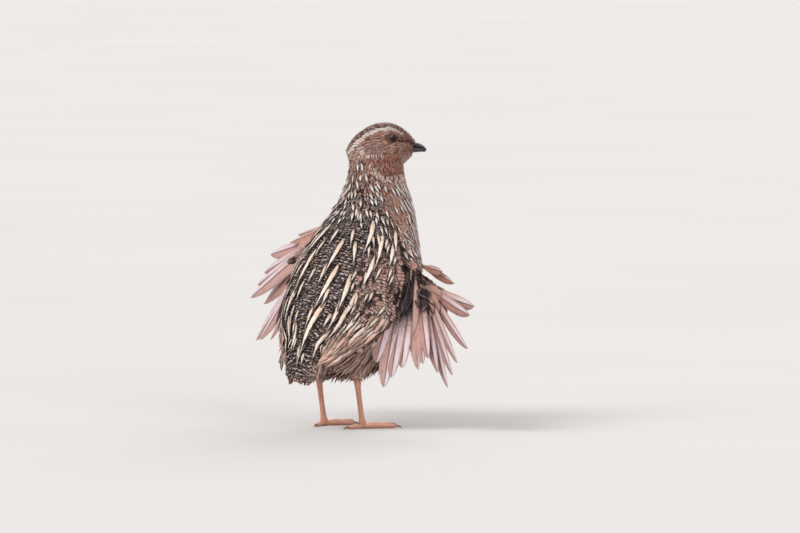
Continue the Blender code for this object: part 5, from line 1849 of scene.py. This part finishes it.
FLOOR_SIZE = 60.0
CAMERA_TURN = math.radians(42.0)
CAMERA_HEIGHT = math.radians(3.5)
CAMERA_AWAY = 3.0
PICTURE_WIDTH = 0.4    # of what the picture shows at the bird, in metres
PICTURE_MIDDLE = (29.0, 80.25)      # millimetres to the right and up in the picture, from the feet
BIRD_MIDDLE = (0.0, 0.0, 0.08)      # where the lamps point
AIR = (0.97, 0.97, 1.0, 1.0)
AIR_STRENGTH = 0.78
SENSOR = 36.0


def make_floor():
    """A level plate, its top at the height of the feet."""
    mesh = bpy.data.meshes.new("floor")
    half = FLOOR_SIZE / 2
    corners = [(-half, -half, 0.0), (half, -half, 0.0), (half, half, 0.0), (-half, half, 0.0)]
    mesh.from_pydata(corners, [], [(0, 1, 2, 3)])
    paint = Paint("floor")
    colour = paint.mix((202, 199, 196), ((194, 191, 188), paint.noise(3.0)))
    mesh.materials.append(paint.finish(colour, 0.9))
    placed("floor", mesh)


def aim(obj, place, target):
    """Puts a lamp or camera at a place, looking at a target."""
    away = np.array(place) - np.array(target)
    flat = math.hypot(away[0], away[1])
    obj.location = place
    obj.rotation_euler = (math.atan2(flat, away[2]), 0.0, math.atan2(away[0], -away[1]))


def make_lamp(name, place, spread, power, tint):
    """A far soft lamp of wide spread, which lights the whole floor evenly."""
    light = bpy.data.lights.new(name, "SUN")
    light.angle = spread
    light.energy = power
    light.color = tint
    aim(placed(name, light), place, BIRD_MIDDLE)


make_floor()
make_lamp("key_lamp", (-0.5, -1.5, 1.6), spread=0.5, power=1.95, tint=(1.0, 0.98, 0.96))
make_lamp("fill_lamp", (1.7, -0.5, 0.9), spread=0.6, power=0.85, tint=(1.0, 0.99, 0.98))
make_lamp("rim_lamp", (-0.6, 1.4, 1.1), spread=0.5, power=0.8, tint=(1.0, 0.99, 0.97))
air = bpy.data.worlds.new("air")
air.use_nodes = True
air.node_tree.nodes["Background"].inputs["Color"].default_value = AIR
air.node_tree.nodes["Background"].inputs["Strength"].default_value = AIR_STRENGTH
bpy.context.scene.world = air
bpy.context.scene.view_settings.view_transform = "Standard"

lens = bpy.data.cameras.new("camera")
lens.sensor_width = SENSOR
lens.lens = SENSOR * CAMERA_AWAY / PICTURE_WIDTH
lens.clip_start = 0.1
lens.clip_end = 100.0
camera = placed("camera", lens)
right = np.array([math.cos(CAMERA_TURN), math.sin(CAMERA_TURN), 0.0])
into = np.array([
    -math.sin(CAMERA_TURN) * math.cos(CAMERA_HEIGHT),
    math.cos(CAMERA_TURN) * math.cos(CAMERA_HEIGHT),
    -math.sin(CAMERA_HEIGHT),
])
above = np.cross(right, into)
target = in_metres(right * PICTURE_MIDDLE[0] + above * PICTURE_MIDDLE[1])
aim(camera, tuple(target - into * CAMERA_AWAY), tuple(target))
bpy.context.scene.camera = camera
